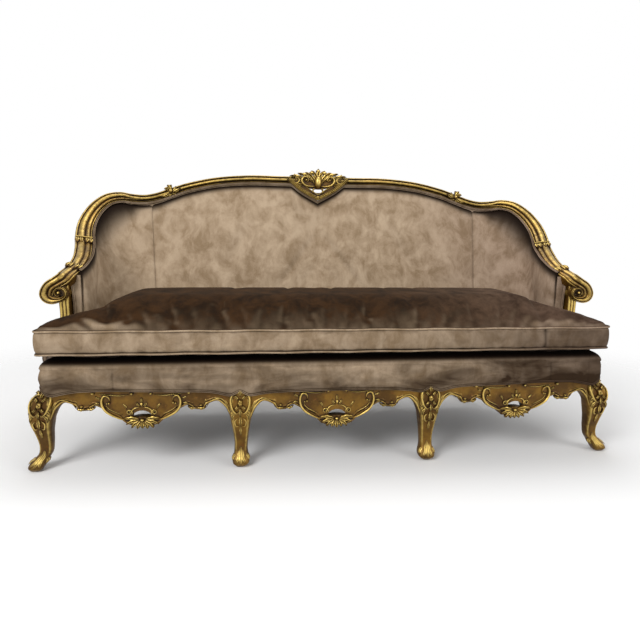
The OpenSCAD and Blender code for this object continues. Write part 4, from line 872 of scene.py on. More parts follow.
def bay(clear, lowest, middle=0.0):
    """The rail's ground, and the carving on it, for half width clear."""
    def top_edge(a):
        return show_height(middle + a) + 0.003

    edge = smooth(edge_table, 8) * (clear, SHOW - lowest) + (0, lowest)
    slope = np.gradient(edge[:, 1]) / np.gradient(edge[:, 0])
    opening = lerp(lowest, SHOW, 0.27)

    def ground(a, b):
        low = np.interp(np.abs(a), edge[:, 0], edge[:, 1])
        steep = np.interp(np.abs(a), edge[:, 0], np.abs(slope))
        off = (b - low) / np.sqrt(1 + np.minimum(steep, 3)**2)
        bead = bump(off, 0.0046, 0.0040, 0.0052) + bump(off, 0.0120, 0.0026, 0.0022)
        swell = 0.005 * np.sin(np.pi * np.clip((b - low) / (top_edge(a) - low), 0, 1))
        lip = bump(top_edge(a) - b, 0.0085, 0.0022, 0.0018)
        return 0.001 + swell + bead + lip

    pieces = []
    for a0, a1, part in ((-clear, -LUNETTE, "side"), (LUNETTE, clear, "side"),
                         (-LUNETTE, LUNETTE, "under"), (-LUNETTE, LUNETTE, "over")):
        a = np.linspace(a0, a1, 150 if part == "side" else 36)
        arch = np.clip(1 - (a / LUNETTE)**2, 0, 1)
        low, high = np.interp(np.abs(a), edge[:, 0], edge[:, 1]), top_edge(a)
        if part == "under":
            high = opening + 0.0054 * arch
        if part == "over":
            low = opening + 0.027 * arch**0.6
        grid = sheet_between(a, low, high, ground, back=-0.024, count=44)
        pieces.append((grid, np.clip((grid[..., 2] - 0.003) / 0.007, 0, 1)))
    z = lambda level: lerp(lowest, SHOW, level)
    shell = []
    for turn in np.radians((-66, -43, -20, 2)):
        reach = 0.058 - 0.022 * math.sin(turn)**2
        start = (0.010 * math.cos(turn), opening - 0.004 + 0.006 * math.sin(turn))
        end = (reach * math.cos(turn), opening - 0.002 + reach * math.sin(turn) * 0.9)
        shell.append(leaf(start, end, 0.10, 0.0082, 0.009, 3, 0.003))
    side = [
        # the large C scroll on each side of the opening, and the line inside it
        curl([(0.098, z(0.76)), (0.102, z(0.90)), (0.116, z(0.94)), (0.124, z(0.80)),
              (0.121, z(0.62)), (0.108, z(0.47)), (0.088, z(0.36)), (0.066, z(0.27)),
              (0.050, z(0.24))], 0.0052, 0.012),
        bud((0.101, z(0.74)), 0.0042, 0.0042, 0.013), bud((0.1085, z(0.72)), 0.0034, 0.0034, 0.010),
        curl([(0.108, z(0.76)), (0.110, z(0.64)), (0.099, z(0.54)), (0.080, z(0.45)),
              (0.062, z(0.38))], 0.0017, 0.005),
        # the arch over the opening, its volutes and its finial
        scroll((0.0395, z(0.46)), 0.0105, 0.0020, 0.62, -1.5, 0.0028, 0.0085),
        curl([(0.036, z(0.34)), (0.033, z(0.48)), (0.022, z(0.58)), (0.004, z(0.61))],
             0.0028, 0.008),
        leaf((0.003, z(0.63)), (0.015, z(0.76)), -0.20, 0.0048, 0.007, 2, 0.001),
        leaf((0.048, z(0.54)), (0.062, z(0.70)), 0.18, 0.0042, 0.006, 2, 0.001),
        # the knobs and curls along the top
        bud((0.030, z(1.0)), 0.0055, 0.0050, 0.010),
        bud((0.151, z(1.02)), 0.0065, 0.0055, 0.011),
        curl([(0.040, z(0.965)), (0.070, z(0.94)), (0.100, z(0.965)), (0.140, z(1.0))],
             0.0018, 0.005),
        # leaves that trail from the scrolls to the tab, and the leaf on the tab
        leaf((0.128, z(0.70)), (0.150, z(0.66)), 0.22, 0.0045, 0.007, 3, 0.001),
        leaf((0.126, z(0.86)), (0.144, z(0.94)), -0.16, 0.0040, 0.006, 2, 0.001),
        leaf((0.146, z(0.62)), (0.174, z(0.58)), -0.20, 0.0048, 0.007, 3, 0.001),
        leaf((0.204, z(0.58)), (0.176, z(0.58)), 0.14, 0.0058, 0.008, 3, 0.001),
        bud((0.188, z(0.64)), 0.0065, 0.0050, 0.008, 6),
        curl([(0.206, z(0.58)), (0.216, z(0.72)), (0.236, z(0.82)), (0.256, z(0.82)),
              (clear - 0.016, z(0.66)), (clear - 0.002, z(0.40))], 0.0022, 0.006)]
    middle = [bud((0.0, z(0.70)), 0.0055, 0.0075, 0.010),
              bud((0.0, opening - 0.004), 0.0075, 0.0055, 0.012),
              leaf((0.0, z(0.72)), (0.0, z(0.88)), 0.0, 0.0048, 0.007, 2, 0.001),
              leaf((0.0, opening - 0.008), (0.0, lowest - 0.003), 0.0, 0.0085, 0.010, 3, 0.002)]
    return pieces, shell + side, middle


def front_rail(clear, lowest, carrier, place=0.0):
    """One bay: its ground, and its carving, whose plane is 3.5 mm further forward."""
    shape = Shape()
    ground, sides, middle = bay(clear, lowest, place)
    laid(shape, ground, carrier(0.013))
    laid(shape, sides, carrier(0.0095), mirror=True)
    return laid(shape, middle, carrier(0.0095))


INNER = 0.320
SIDE_TURN = math.atan2(0.020, HALF - INNER)


def on_side_bay(y):
    """The carrier of an outer bay, turned back about the inner leg."""
    half_bay = (HALF - INNER) / 2
    return on_front(y + half_bay * math.sin(SIDE_TURN), INNER + half_bay * math.cos(SIDE_TURN),
                    SIDE_TURN)


object_from("front_rail_carved_centre", front_rail(0.291, 0.134, on_front), "gilt_wood",
            ["front_rail_centre", "apron_carving_centre"])
pair("front_rail_carved", front_rail(0.2865, 0.146, on_side_bay, (HALF + INNER) / 2), "gilt_wood",
     ["front_rail", "apron_carving"])

# %% [markdown]
# ## The legs
# A cabriole leg bends out at the knee, in at the ankle and out again at the foot.
# It could be cut from sections in a solid modeller; here a table gives its four
# sides at each height, a smooth curve runs through each, and a rounded square
# section is stretched between them. The front has a sunk panel between two beads.

# %% Front legs
outer_leg = np.array([
    # height, inner side, outer side, front, back
    [0.2995, 0.922, 0.943, 0.028, 0.082], [0.285, 0.921, 0.944, 0.027, 0.082],
    [0.270, 0.919, 0.949, 0.025, 0.082], [0.257, 0.917, 0.963, 0.023, 0.082],
    [0.243, 0.913, 0.978, 0.019, 0.082], [0.222, 0.912, 0.988, 0.015, 0.082],
    [0.200, 0.914, 0.991, 0.014, 0.082],
    [0.166, 0.920, 0.990, 0.018, 0.081], [0.147, 0.924, 0.985, 0.022, 0.080],
    [0.130, 0.927, 0.980, 0.027, 0.079], [0.090, 0.930, 0.972, 0.036, 0.077],
    [0.060, 0.934, 0.974, 0.037, 0.075], [0.042, 0.943, 0.986, 0.031, 0.073],
    [0.026, 0.953, 1.001, 0.022, 0.070], [0.013, 0.959, 1.006, 0.019, 0.067],
    [0.003, 0.966, 1.000, 0.026, 0.061]])
inner_leg = np.array([
    [0.300, 0.291, 0.349, 0.008, 0.062], [0.262, 0.285, 0.355, 0.004, 0.062],
    [0.235, 0.281, 0.359, -0.003, 0.062], [0.200, 0.281, 0.359, -0.006, 0.062],
    [0.166, 0.286, 0.354, -0.003, 0.062], [0.147, 0.289, 0.351, 0.001, 0.061],
    [0.130, 0.292, 0.348, 0.006, 0.060], [0.090, 0.297, 0.343, 0.015, 0.058],
    [0.060, 0.299, 0.343, 0.016, 0.056], [0.042, 0.297, 0.345, 0.009, 0.055],
    [0.028, 0.293, 0.349, 0.001, 0.053], [0.014, 0.294, 0.348, -0.002, 0.048],
    [0.003, 0.306, 0.338, 0.006, 0.042]])


def leg_rings(table, square=3.4):
    """Rounded squares at each height: cosine and sine of the way round, each
    raised to a power below one, stretched to the four sides. The front is sunk
    between the beads where the leg is a shaft."""
    q = smooth(table, 10)
    a = np.linspace(0, 2 * np.pi, 72, endpoint=False)
    c, s = np.cos(a), np.sin(a)
    x, y = np.sign(c) * np.abs(c)**(2 / square), np.sign(s) * np.abs(s)**(2 / square)
    shaft = (ease((q[:, 0] - 0.045) / 0.03) * ease((0.262 - q[:, 0]) / 0.03))[:, None]
    facing = ease((-s - 0.25) / 0.4)
    carved = (0.0015 * np.exp(-((np.abs(x) - 0.74) / 0.10)**2)
              - 0.0010 * ease((0.62 - np.abs(x)) / 0.15))
    mid_x, half_x = (q[:, 1] + q[:, 2])[:, None] / 2, (q[:, 2] - q[:, 1])[:, None] / 2
    mid_y, half_y = (q[:, 3] + q[:, 4])[:, None] / 2, (q[:, 4] - q[:, 3])[:, None] / 2
    ring = np.stack([mid_x + half_x * x, mid_y + half_y * y - shaft * facing * carved,
                     q[:, :1] + 0 * x], -1)
    wear = 0.42 + shaft * facing * (carved / 0.005) + 0.10 * facing
    return ring, wear


def on_leg(table, side=1):
    """A carrier down a leg's front: across from its middle, by height, and out. Its
    side is 1 for the right-hand leg and -1 for the left-hand one."""
    q = smooth(table, 10)[::-1]

    def place(a, b, h):
        inner, outer, face = (np.interp(b, q[:, 0], q[:, k]) for k in (1, 2, 3))
        half = (outer - inner) / 2
        fall = 0.35 * half * np.clip(np.abs(a) / half, 0, 1.25)**3.4
        return np.stack([(inner + outer) / 2 + a, face + fall - h, b], -1) * (side, 1, 1)
    return place


knee_side = [
    curl([(0.003, 0.264), (0.019, 0.262), (0.030, 0.247), (0.031, 0.228), (0.024, 0.206),
          (0.012, 0.194), (0.005, 0.200)], 0.0046, 0.010),
    leaf((0.012, 0.258), (0.028, 0.268), 0.18, 0.0070, 0.008, 3, 0.001),
    leaf((0.022, 0.244), (0.034, 0.250), -0.15, 0.0064, 0.007, 3, 0.0),
    leaf((0.024, 0.226), (0.035, 0.222), 0.15, 0.0060, 0.007, 3, 0.0),
    leaf((0.020, 0.210), (0.031, 0.198), 0.15, 0.0062, 0.007, 3, 0.0),
    leaf((0.012, 0.198), (0.026, 0.170), 0.20, 0.0060, 0.007, 3, 0.001),
    leaf((0.008, 0.238), (0.021, 0.252), 0.20, 0.0052, 0.009, 2, 0.002),
    leaf((0.008, 0.222), (0.020, 0.210), -0.20, 0.0052, 0.009, 2, 0.002),
    curl([(0.008, 0.178), (0.018, 0.166), (0.014, 0.148), (0.005, 0.150)], 0.0026, 0.005)]
knee_middle = [
    bud((0.0, 0.230), 0.0100, 0.0135, 0.011, 5), bud((0.0, 0.230), 0.0045, 0.0055, 0.017),
    leaf((0.0, 0.250), (0.0, 0.277), 0.0, 0.0075, 0.009, 3, 0.003),
    leaf((0.0, 0.212), (0.0, 0.186), 0.0, 0.0065, 0.009, 3, 0.002),
    leaf((0.0, 0.186), (0.0, 0.148), 0.0, 0.0070, 0.006, 4, 0.001),
    leaf((0.0, 0.150), (0.0, 0.112), 0.0, 0.0050, 0.004, 3, 0.000)]
foot_side = [leaf((0.006, 0.060), (0.018, 0.016), -0.10, 0.0065, 0.0022, 2, 0.0),
             leaf((0.016, 0.046), (0.027, 0.024), 0.15, 0.0050, 0.0022, 2, 0.0)]
foot_middle = [leaf((0.0, 0.070), (0.0, 0.010), 0.0, 0.0080, 0.0026, 2, 0.0)]
for name, table in (("outer", outer_leg), ("inner", inner_leg)):
    leg = Shape().add(*leg_rings(table))
    laid(leg, foot_side, on_leg(table), mirror=True)
    laid(leg, foot_middle, on_leg(table))
    pair(f"front_leg_carved_{name}", leg, "gilt_wood", [f"front_leg_{name}"])
knees = Shape()
for table in (outer_leg, inner_leg):
    for side in (1, -1):
        laid(knees, knee_side, on_leg(table, side), mirror=True)
        laid(knees, knee_middle, on_leg(table, side))
object_from("knee_rosettes", knees, "gilt_wood", ["knee_carvings"])

# %% [markdown]
# The rear legs are plain and kick backwards. They run on up, inside the padding,
# as the posts of the back. The side rails follow the curve of the seat.

# %% Rear legs and side rails
wall_table = np.array([
    [0.000, 1.000], [0.168, 1.000], [0.316, 1.000], [0.463, 1.000], [0.589, 0.995],
    [0.674, 0.986], [0.737, 0.972], [0.785, 0.945], [0.825, 0.905], [0.858, 0.855],
    [0.887, 0.795], [0.910, 0.735], [0.928, 0.675], [0.941, 0.615], [0.950, 0.555],
    [0.956, 0.500], [0.958, 0.445], [0.957, 0.395], [0.954, 0.345], [0.950, 0.300]])
wall = smooth(wall_table, STEPS) * (HALF, 0.575)


def rear_leg(x):
    """A leg's sides at each height, from its kick, its width and the wall's line."""
    y = np.interp(x, wall[:, 0], wall[:, 1])
    kick = np.array([[0.00, 1.00, 0.74], [0.08, 0.98, 0.90], [0.20, 0.84, 0.72],
                     [0.42, 0.56, 0.72], [0.68, 0.22, 0.86], [0.90, 0.03, 0.98]])
    rows = [[lerp(0.003, 0.228, h), x - w * 0.022, x + w * 0.022,
             y + k * 0.120 - w * 0.022, y + k * 0.120 + w * 0.022] for h, k, w in kick]
    rows += [[h, x - 0.022, x + 0.022, y - 0.022, y + 0.022] for h in (0.228, 0.2999)]
    j = np.interp(x, rail_place[:SHOULDER * 2, 0], np.arange(SHOULDER * 2))
    top_y, top_z = (np.interp(j, np.arange(SHOULDER * 2), rail_place[:SHOULDER * 2, k])
                    for k in (1, 2))
    rows += [[0.3001, x - 0.017, x + 0.017, y - 0.011, y + 0.015],
             [top_z - 0.022, x - 0.017, x + 0.017, top_y - 0.013, top_y + 0.013]]
    return np.array(rows)[::-1]


for name, x in (("outer", 0.700), ("inner", INNER)):
    table = rear_leg(x)
    post, foot = leg_rings(table[:2], 6), leg_rings(table[2:], 5)
    pair(f"rear_leg_smooth_{name}", Shape().add(post[0], 0.4).add(foot[0], 0.45), "gilt_wood",
         [f"rear_leg_{name}"])

side_path = np.vstack([wall[(wall[:, 0] > 0.7225)], [[0.928, 0.125], [0.946, 0.0825]]])
side_path = evenly(side_path, 90)
off = -right_of(headings(side_path))
rise = np.linspace(0.228, 0.300, 33)
proud = (0.008 + bump(rise, 0.235, 0.005, 0.005) + bump(rise, 0.293, 0.005, 0.004)
         + 0.003 * np.sin(np.pi * (rise - 0.228) / 0.072))
deep, height = np.r_[proud, -0.013, -0.013], np.r_[rise, 0.300, 0.228]
rings = np.concatenate([side_path[:, None] + off[:, None] * deep[:, None],
                        np.broadcast_to(height[:, None], (90, 35, 1))], -1)
side_rail = Shape().add(rings, np.r_[(proud - 0.008) / 0.006, 0.2, 0.2])
pair("side_rail_moulded", side_rail, "gilt_wood", ["side_rail"])

# %% [markdown]
# ## The padding of the back and the wings
# The back and each wing are velvet over a firm pad. Their inner face rises from
# just above the seat to the welt under the rail. It could be a cage with a
# smoothing modifier, but its edges have to meet the rail exactly. So it is a sheet
# between a foot line and a top line, puffed out between them, with soft hollows
# for the seams and for the folds that the photo shows.

# %% The padding
SEAM, WING_FULL, WING_END = 6 * STEPS, 12 * STEPS, int(18.5 * STEPS)
PAD_LOW = 0.377                    # height of the pads' foot, just under the seat's top
BACK_THICK, WING_THICK = 0.074, 0.038
way_in = right_of(headings(wall))


def crest_dip(x):
    """How far the velvet's top edge drops under the point of the crest: it follows
    the lower edge of the carved band."""
    share = (v_edge[-1, 1] - v_edge[:, 1]) / (v_edge[-1, 1] - v_edge[0, 1])
    share = np.clip(share * 1.16 - 0.16, 0, 1)**1.15
    return 0.0737 * np.interp(np.abs(x), v_edge[:, 0], share, right=0)


def pad_thick(i):
    """Thickness of the pad at places i: the back's fades into the wing's."""
    return lerp(BACK_THICK, WING_THICK, ease((i - SEAM) / (WING_FULL - SEAM)))


def pad_edges(i):
    """Foot and top of the inner face, and of the outer face, at places i. The foot
    stands in as far as the top does, smoothed along the wall by a bell curve, and
    near the seam the top slides outwards so that the seam leans as it rises."""
    every = np.arange(WING_END + 1)
    top = beside(every, 0.0092, 0.021)
    reach = ((top[:, :2] - wall[every]) * way_in[every]).sum(1)
    bell = np.exp(-(np.arange(-60, 61) / 26)**2)
    inset = np.convolve(np.pad(np.maximum(pad_thick(every), reach), 60, mode="edge"),
                        bell / bell.sum(), "valid")
    tilt = rail[every, 4:5] / 90
    top_out = beside(every, 0.0092, 0.0) + face_way[every] * lerp(0.0175, -0.0175, tilt)
    foot, low_out = (level_at(wall[every] + way_in[every] * np.reshape(q, (-1, 1)), PAD_LOW)
                     for q in (inset, 0.015))
    # the top of the centre drops under the crest
    dip = crest_dip(rail_place[every, 0])[:, None] * (0, 0, 1)
    near = np.exp(-((i - SEAM) / 45)**2) * np.minimum(i / SEAM, 1)
    return [np.column_stack([np.interp(i + slide * near, every, q[:, k]) for k in range(3)])
            for q, slide in ((foot, -5), (top - dip, 8.5), (top_out - dip, 8.5), (low_out, -5))]


def folds(x, y, table):
    """Hollows along lines, summed. Each fades with the distance off its line as a
    bell curve, and to nothing at both ends. A row is the start's two numbers, the
    end's two, the half width and the depth."""
    total = 0
    for x0, y0, x1, y1, half, deep in table:
        along = ((x - x0) * (x1 - x0) + (y - y0) * (y1 - y0)) / ((x1 - x0)**2 + (y1 - y0)**2)
        off = np.hypot(x - lerp(x0, x1, along), y - lerp(y0, y1, along))
        total = total + (deep * np.exp(-(off / half)**2)
                         * np.sqrt(np.clip(4 * along * (1 - along), 0, 1)))
    return total


# places across and up, in metres
back_folds = [
    [0.005, 0.800, 0.205, 0.530, 0.016, 0.0030], [-0.045, 0.560, -0.050, 0.630, 0.007, 0.0022],
    [0.020, 0.640, 0.120, 0.540, 0.012, 0.0016], [-0.300, 0.720, -0.160, 0.560, 0.030, 0.0018],
    [0.300, 0.860, 0.420, 0.620, 0.034, 0.0018], [-0.560, 0.860, -0.470, 0.600, 0.034, 0.0016],
    [-0.120, 0.905, -0.030, 0.870, 0.012, 0.0016], [0.060, 0.870, 0.170, 0.925, 0.014, 0.0016],
    [0.500, 0.560, 0.640, 0.600, 0.020, 0.0020], [-0.650, 0.560, -0.540, 0.585, 0.018, 0.0018]]


def pad_rings(i, first_seam=True, last_seam=True, rounded=False):
    """Closed sections: up the inner face, then down the outer one. The face puffs
    out as a sine of its height, less a rounding at its top and foot, the seams and
    the folds. Painted shade lies under the rail, reaching furthest down in the wing,
    and in the seams and folds. A rounded pad thins over its last 11 mm."""
    foot, top, top_out, low_out = pad_edges(i)
    t = np.r_[0, 0.004 + 0.992 * (0.5 - 0.5 * np.cos(np.pi * np.linspace(0, 1, 84)**0.9)), 1]
    t = t[None, :, None]
    face = lerp(foot[:, None], top[:, None], t)
    tall = np.linalg.norm(top - foot, axis=1)[:, None]
    from_top, from_foot = (1 - t[..., 0]) * tall, t[..., 0] * tall
    run = np.r_[0, np.cumsum(np.linalg.norm(np.diff(foot[:, :2], axis=0), axis=1))][:, None]
    puff = 0.012 * np.sin(np.pi * t[..., 0])**0.8
    for gap, reach in ((from_top, 0.020), (from_foot, 0.016)):
        puff = puff - 0.010 * (1 - dome((1 - gap / reach) * (gap < reach)))
    hollow = np.zeros_like(puff)
    for near, wanted in ((run, first_seam), (run[-1] - run, last_seam)):
        if wanted:
            hollow = (hollow + 0.0045 * np.exp(-(near / 0.004)**1.4)
                      + 0.002 * np.exp(-(near / 0.035)**2))
    x, z = face[..., 0], face[..., 2]
    folded = folds(x, z, back_folds)
    slow = (0.0011 * np.sin(x * 17 + z * 9) * np.sin(z * 21 - x * 6)
            + 0.0006 * np.sin(x * 43 + 2) * np.sin(z * 37))
    out = puff - hollow - folded + slow * np.clip(from_top / 0.05, 0, 1)
    face = face + level_at(way_in[i], 0.0)[:, None] * out[..., None]
    rear = lerp(top_out[:, None], low_out[:, None], np.linspace(0, 1, 14)[None, :, None])
    ring = np.concatenate([face, rear], 1)
    if rounded:
        left = np.clip((run[-1] - run) / 0.011, 0, 1)
        bulk = dome(1 - left)[..., None]
        mirror_rear = lerp(low_out[:, None], top_out[:, None], t)
        ring[:, :face.shape[1]] = lerp(mirror_rear, face, lerp(0.80, 1, bulk))
    # painted shade: dark under the rail and most in the wing, and in the seam hollows and the folds
    row = i[:, None] / STEPS
    reach = 0.040 + 0.210 * np.exp(-((row - 11.3) / 3.7)**2)
    shade = 0.5 * ease((from_top - 0.004) / reach + 0.10)
    near_seam = ease(np.clip((row - 6.2) / 1.6, 0, 1)) if first_seam else 1.0
    shade = lerp(0.5 * ease((from_top - 0.004) / 0.036 + 0.10), shade, near_seam)
    shade = np.minimum(shade, 0.5 - 22 * hollow - 45 * folded)
    wear = np.concatenate([np.clip(shade, 0.02, 0.5), np.full((len(i), 14), 0.4)], 1)
    return ring, wear


centre_half = np.unique(np.linspace(0, SEAM, 97).astype(int))
centre_pad = Shape().add(*both_ways(*pad_rings(centre_half, first_seam=False)))
back_pad = object_from("back_pad_velvet", centre_pad, "velvet", ["back_pad"])
ring, wear = pad_rings(np.arange(SEAM, WING_END + 1), last_seam=False, rounded=True)
wing = Shape().add(ring + (0.0006, 0, 0), wear)
# the front border of each wing, a flat panel that closes it beside the support
rise, turn = np.linspace(0.377, 0.628, 30), np.linspace(0, 2 * np.pi, 40, endpoint=False)
inner_x = np.interp(rise, [0.392, 0.45, 0.52, 0.628], [0.864, 0.861, 0.858, 0.857])[:, None]
swell = np.sin(np.pi * np.clip((rise - 0.392) / 0.236, 0, 1))[:, None]
squared = lambda q: np.sign(q) * np.abs(q)**0.45
wing.add(np.stack([(inner_x + 0.885) / 2 + (0.885 - inner_x) / 2 * squared(np.cos(turn)),
                   0.1885 + (0.0040 + 0.0015 * swell) * squared(np.sin(turn)),
                   np.broadcast_to(rise[:, None], (30, 40))], -1), 0.46)
wings = pair("wing_pad_velvet", wing, "velvet", ["wing_pad"])

# %% [markdown]
# ## The double welt
# Two thin covered cords lie side by side where the velvet meets the carved wood,
# and hide the tacks. A curve with a round bevel would make one cord. Here both
# are one strip whose section has two lobes, carried along the edge of the rail and
# along the lower edge of the seat.

# %% Welts
def welt_rings(path, across, out, half=0.0042, high=0.0046):
    """A two-lobed section at each place: half circles side by side, flat below."""
    s = np.linspace(-1, 1, 19)
    lobe = dome((np.abs(s) - 0.5) / 0.5)
    rows = (path[:, None] + across[:, None] * (s * half)[:, None]
            + out[:, None] * (high * (0.15 + 0.85 * lobe))[:, None])
    under = (path[:, None] + across[:, None] * (s[[-1, 0]] * half)[:, None]
             - out[:, None] * high * 0.5)
    # painted shade: darker between and under the two cords, lighter on their crowns
    wear = np.r_[0.30 + 0.5 * lobe, 0.1, 0.1]
    return np.concatenate([rows, under], 1), np.broadcast_to(wear, (len(path), len(wear)))


edge = np.arange(0, WING_END + 1, 2)
path = beside(edge, 0.0046, 0.0205)
path[:, 2] -= crest_dip(rail_place[edge, 0])
back_welt = Shape().add(*both_ways(*welt_rings(path, outer_way[edge], face_way[edge])))
# down the front of each wing, beside the arm's support
down = smooth([[0.880, 0.1825, 0.400], [0.880, 0.1825, 0.450], [0.880, 0.1825, 0.505],
               [0.881, 0.1820, 0.560], [0.884, 0.1800, 0.606]], 12)
drop = welt_rings(down, np.broadcast_to((1.0, 0, 0), down.shape),
                  np.broadcast_to((0, -1.0, 0), down.shape))
for side in (1, -1):
    back_welt.add(drop[0] * (side, 1, 1), drop[1])
object_from("back_welt_velvet", back_welt, "velvet", ["back_welt"])

# %% [markdown]
# ## The seat under the cushion
# The sprung seat is covered in velvet too. Its front is a border that bulges a
# little under a rolled edge, is cut to the curved top of the rails, and wraps
# round the corners. One closed outline is carried up through a few levels, with a
# finer curve at the roll, and the underside is hollow for the springs.

# %% The seat's cover
def closed_outline(right, step):
    """Places on the right half from the middle of the front to the middle of the
    back, made even and closed by their mirror image."""
    length = np.linalg.norm(np.diff(right, axis=0), axis=1).sum()
    half = evenly(right, int(length / step))
    return np.vstack([half, (half * (-1, 1))[-2:0:-1]])


def drawn_in(line, share):
    """An outline shrunk towards a line along the middle of the seat."""
    middle = np.column_stack([line[:, 0] * 0.62, np.full(len(line), 0.28)])
    return lerp(middle, line, share)


DECK, ROLL, RAILS = 0.384, 0.346, 0.300  # heights of the seat, its front roll and the rails
deck_wall = wall[::-4] + way_in[::-4] * 0.0254
corner = np.radians(np.arange(-90, 1, 15))
deck_right = np.vstack([
    [[0, -0.002], [0.914, -0.002]],
    np.column_stack([0.916 + 0.022 * np.cos(corner), 0.020 + 0.022 * np.sin(corner)]),
    [[0.938, 0.044], [0.930, 0.056], [0.900, 0.068]], deck_wall])
deck_line = closed_outline(deck_right, 0.007)
x, y = deck_line.T
fronting = ease((0.075 - y) / 0.05)
low = lerp(RAILS + 0.0004, show_height(x), fronting * (y < 0.060))
low = np.where((y >= 0.010) & (y < 0.060), lerp(0.290, 0.300, ease((y - 0.010) / 0.04)), low)
crease = sum(deep * np.exp(-((x - at) / wide)**2) for at, wide, deep in (
    (-0.716, 0.0026, 0.0016), (0.744, 0.0026, 0.0016), (0.884, 0.0026, 0.0016),
    (-0.716, 0.03, 0.0008), (0.744, 0.03, 0.0008)))
# inward directions, averaged along the outline so that corners don't fold over
along = np.roll(deck_line, -1, 0) - np.roll(deck_line, 1, 0)
inwards = -right_of(unit(blurred(along, 30, 13)))
levels = []
for t in np.linspace(0, 1, 26):
    pull = (0.0022 * np.sin(2 * np.pi * (2.6 * x + 0.9 * t + 0.35 * np.sin(9 * x)))
            * np.sin(np.pi * t)**2)
    bulge = 0.0055 * np.sin(np.pi * np.clip(t * 1.05, 0, 1))**0.7
    tuck = 0.004 * np.exp(-(t / 0.06)**2)
    flat = offset(deck_line, -bulge + tuck + (crease + pull * 0.6) * fronting)
    # painted shade in the creases, in the hollows of the pulls and at the border's foot
    worn_and_shaded = np.clip(0.5 - 75 * crease * fronting - 0.26 * np.exp(-(t / 0.07)**2)
                   - np.clip(pull, -1, 0) * -60 * fronting, 0.05, 0.5)
    levels.append((level_at(flat, lerp(low, ROLL, t)), worn_and_shaded))
for t in np.linspace(0.08, 1, 20):
    turn = t * np.pi / 2
    flat = offset(deck_line, -0.003 * np.cos(turn)) + inwards * 0.060 * (1 - np.cos(turn))
    # painted shade on the roll's top, under the cushion's front
    levels.append((level_at(flat, lerp(ROLL, DECK, np.sin(turn))),
                   0.5 * (1 - ease((t - 0.10) / 0.45))))
inner = blurred(levels[-1][0][:, :2], 60, 28)
# the top under the cushion is painted dark as shade
levels += [(level_at(drawn_in(inner, share), DECK), 0.0)
           for share in (0.86, 0.70, 0.50, 0.30, 0.12)]
cavity, behind = drawn_in(deck_line, 0.86), offset(deck_line, 0.009)
under = [(level_at(cavity, 0.352), 0.3), (level_at(cavity, RAILS + 0.0008), 0.3),
         (level_at(behind, RAILS + 0.0008), 0.3),
         (level_at(behind, np.minimum(low, RAILS + 0.0004)), 0.3)]
rows = np.array([place for place, _ in under + levels])
worn_and_shaded = np.array([np.broadcast_to(w, len(x)) for _, w in under + levels])
seat = object_from("seat_velvet", Shape().add(rows, worn_and_shaded), "velvet", ["seat_deck"])

across = np.linspace(-0.922, 0.922, 460)
front_line = np.column_stack([across, np.full(460, -0.0006), show_height(across) + 0.0006])
turning = smooth([[0.922, -0.0006, show_height(0.922) + 0.0006], [0.934, 0.006, 0.286],
                  [0.939, 0.020, 0.292], [0.940, 0.040, 0.298]], 8)[1:]
line = np.vstack([(turning * (-1, 1, 1))[::-1], front_line, turning])
out = unit(np.column_stack([np.interp(line[:, 0], [-0.94, -0.925, 0.925, 0.94], [-1, 0, 0, 1]),
                            np.interp(np.abs(line[:, 0]), [0.925, 0.94], [-1, -0.05]),
                            np.zeros(len(line))]))
ring, wear = welt_rings(line, unit(np.cross(headings(line), out)), out, 0.0045, 0.0042)
object_from("seat_welt_velvet", Shape().add(ring, wear), "velvet", ["deck_welt"])

# %% [markdown]
# ## The outside covers
# Plain velvet is stretched over the outside of the back and of each arm, from the
# seat rail up behind the top rail. Each is a thin sheet, whose flat size and area are printed.

# %% Outside covers
COVER_ROWS = 40


def cover_rings(i):
    """Sections of a thin sheet: up its outer face, then down its inner one."""
    tilt = rail[i, 4] / 90
    behind, over = (np.clip(q, 0, 1)[:, None] for q in (tilt / 0.3, (tilt - 0.3) / 0.7))
    w = rail_width[i, None]
    top = (rail_place[i] - outer_way[i] * lerp(w / 2 + 0.002, -w * 0.20, over)
           - face_way[i] * lerp(0.0134, 0.023, behind))
    top[:, 2] -= crest_dip(rail_place[i, 0])
    low = level_at(wall[i] - way_in[i] * 0.0224, RAILS + 0.0004)
    t = np.linspace(0, 1, COVER_ROWS)
    way = level_at(way_in[i], 0.0)[:, None]
    slack = 0.0018 * np.sin(np.pi * t)[None, :, None]
    face = lerp(low[:, None], top[:, None], t[None, :, None])
    inner, outer = face + way * slack, face - way * (0.0016 - slack)
    return np.concatenate([outer, inner[:, ::-1]], 1)


def flat_size(ring):
    """The cut that holds a sheet: the longest way round it, and the longest way up."""
    p = ring[:, :COVER_ROWS]
    return (float(np.linalg.norm(np.diff(p, axis=0), axis=-1).sum(0).max()),
            float(np.linalg.norm(np.diff(p, axis=1), axis=-1).sum(1).max()))


def sheet_area(ring):
    """Area of one face of a sheet, summed over its quads."""
    p = ring[:, :COVER_ROWS]
    return float(np.linalg.norm(np.cross(p[1:, 1:] - p[:-1, :-1], p[1:, :-1] - p[:-1, 1:]),
                                axis=-1).sum() / 2)


ring, wear = both_ways(cover_rings(np.arange(0, SEAM + 1, 2)))
sheet = object_from("outside_back_velvet", Shape().add(ring, wear), "velvet",
                    ["outside_back_cover"], crisp=60)
flat_size(ring)
sheet_area(ring)
print("outside back, flat:", np.round(flat_size(ring), 3), "area", round(sheet_area(ring), 3))
ring = cover_rings(np.arange(SEAM, WING_END + 1, 2)) + (0.0006, 0, 0)
for sheet in pair("outside_arm_velvet", Shape().add(ring, 0.5), "velvet",
                  ["outside_arm_cover"], crisp=60):
    flat_size(ring)
    sheet_area(ring)
print("outside arm, flat:", np.round(flat_size(ring), 3), "area", round(sheet_area(ring), 3))

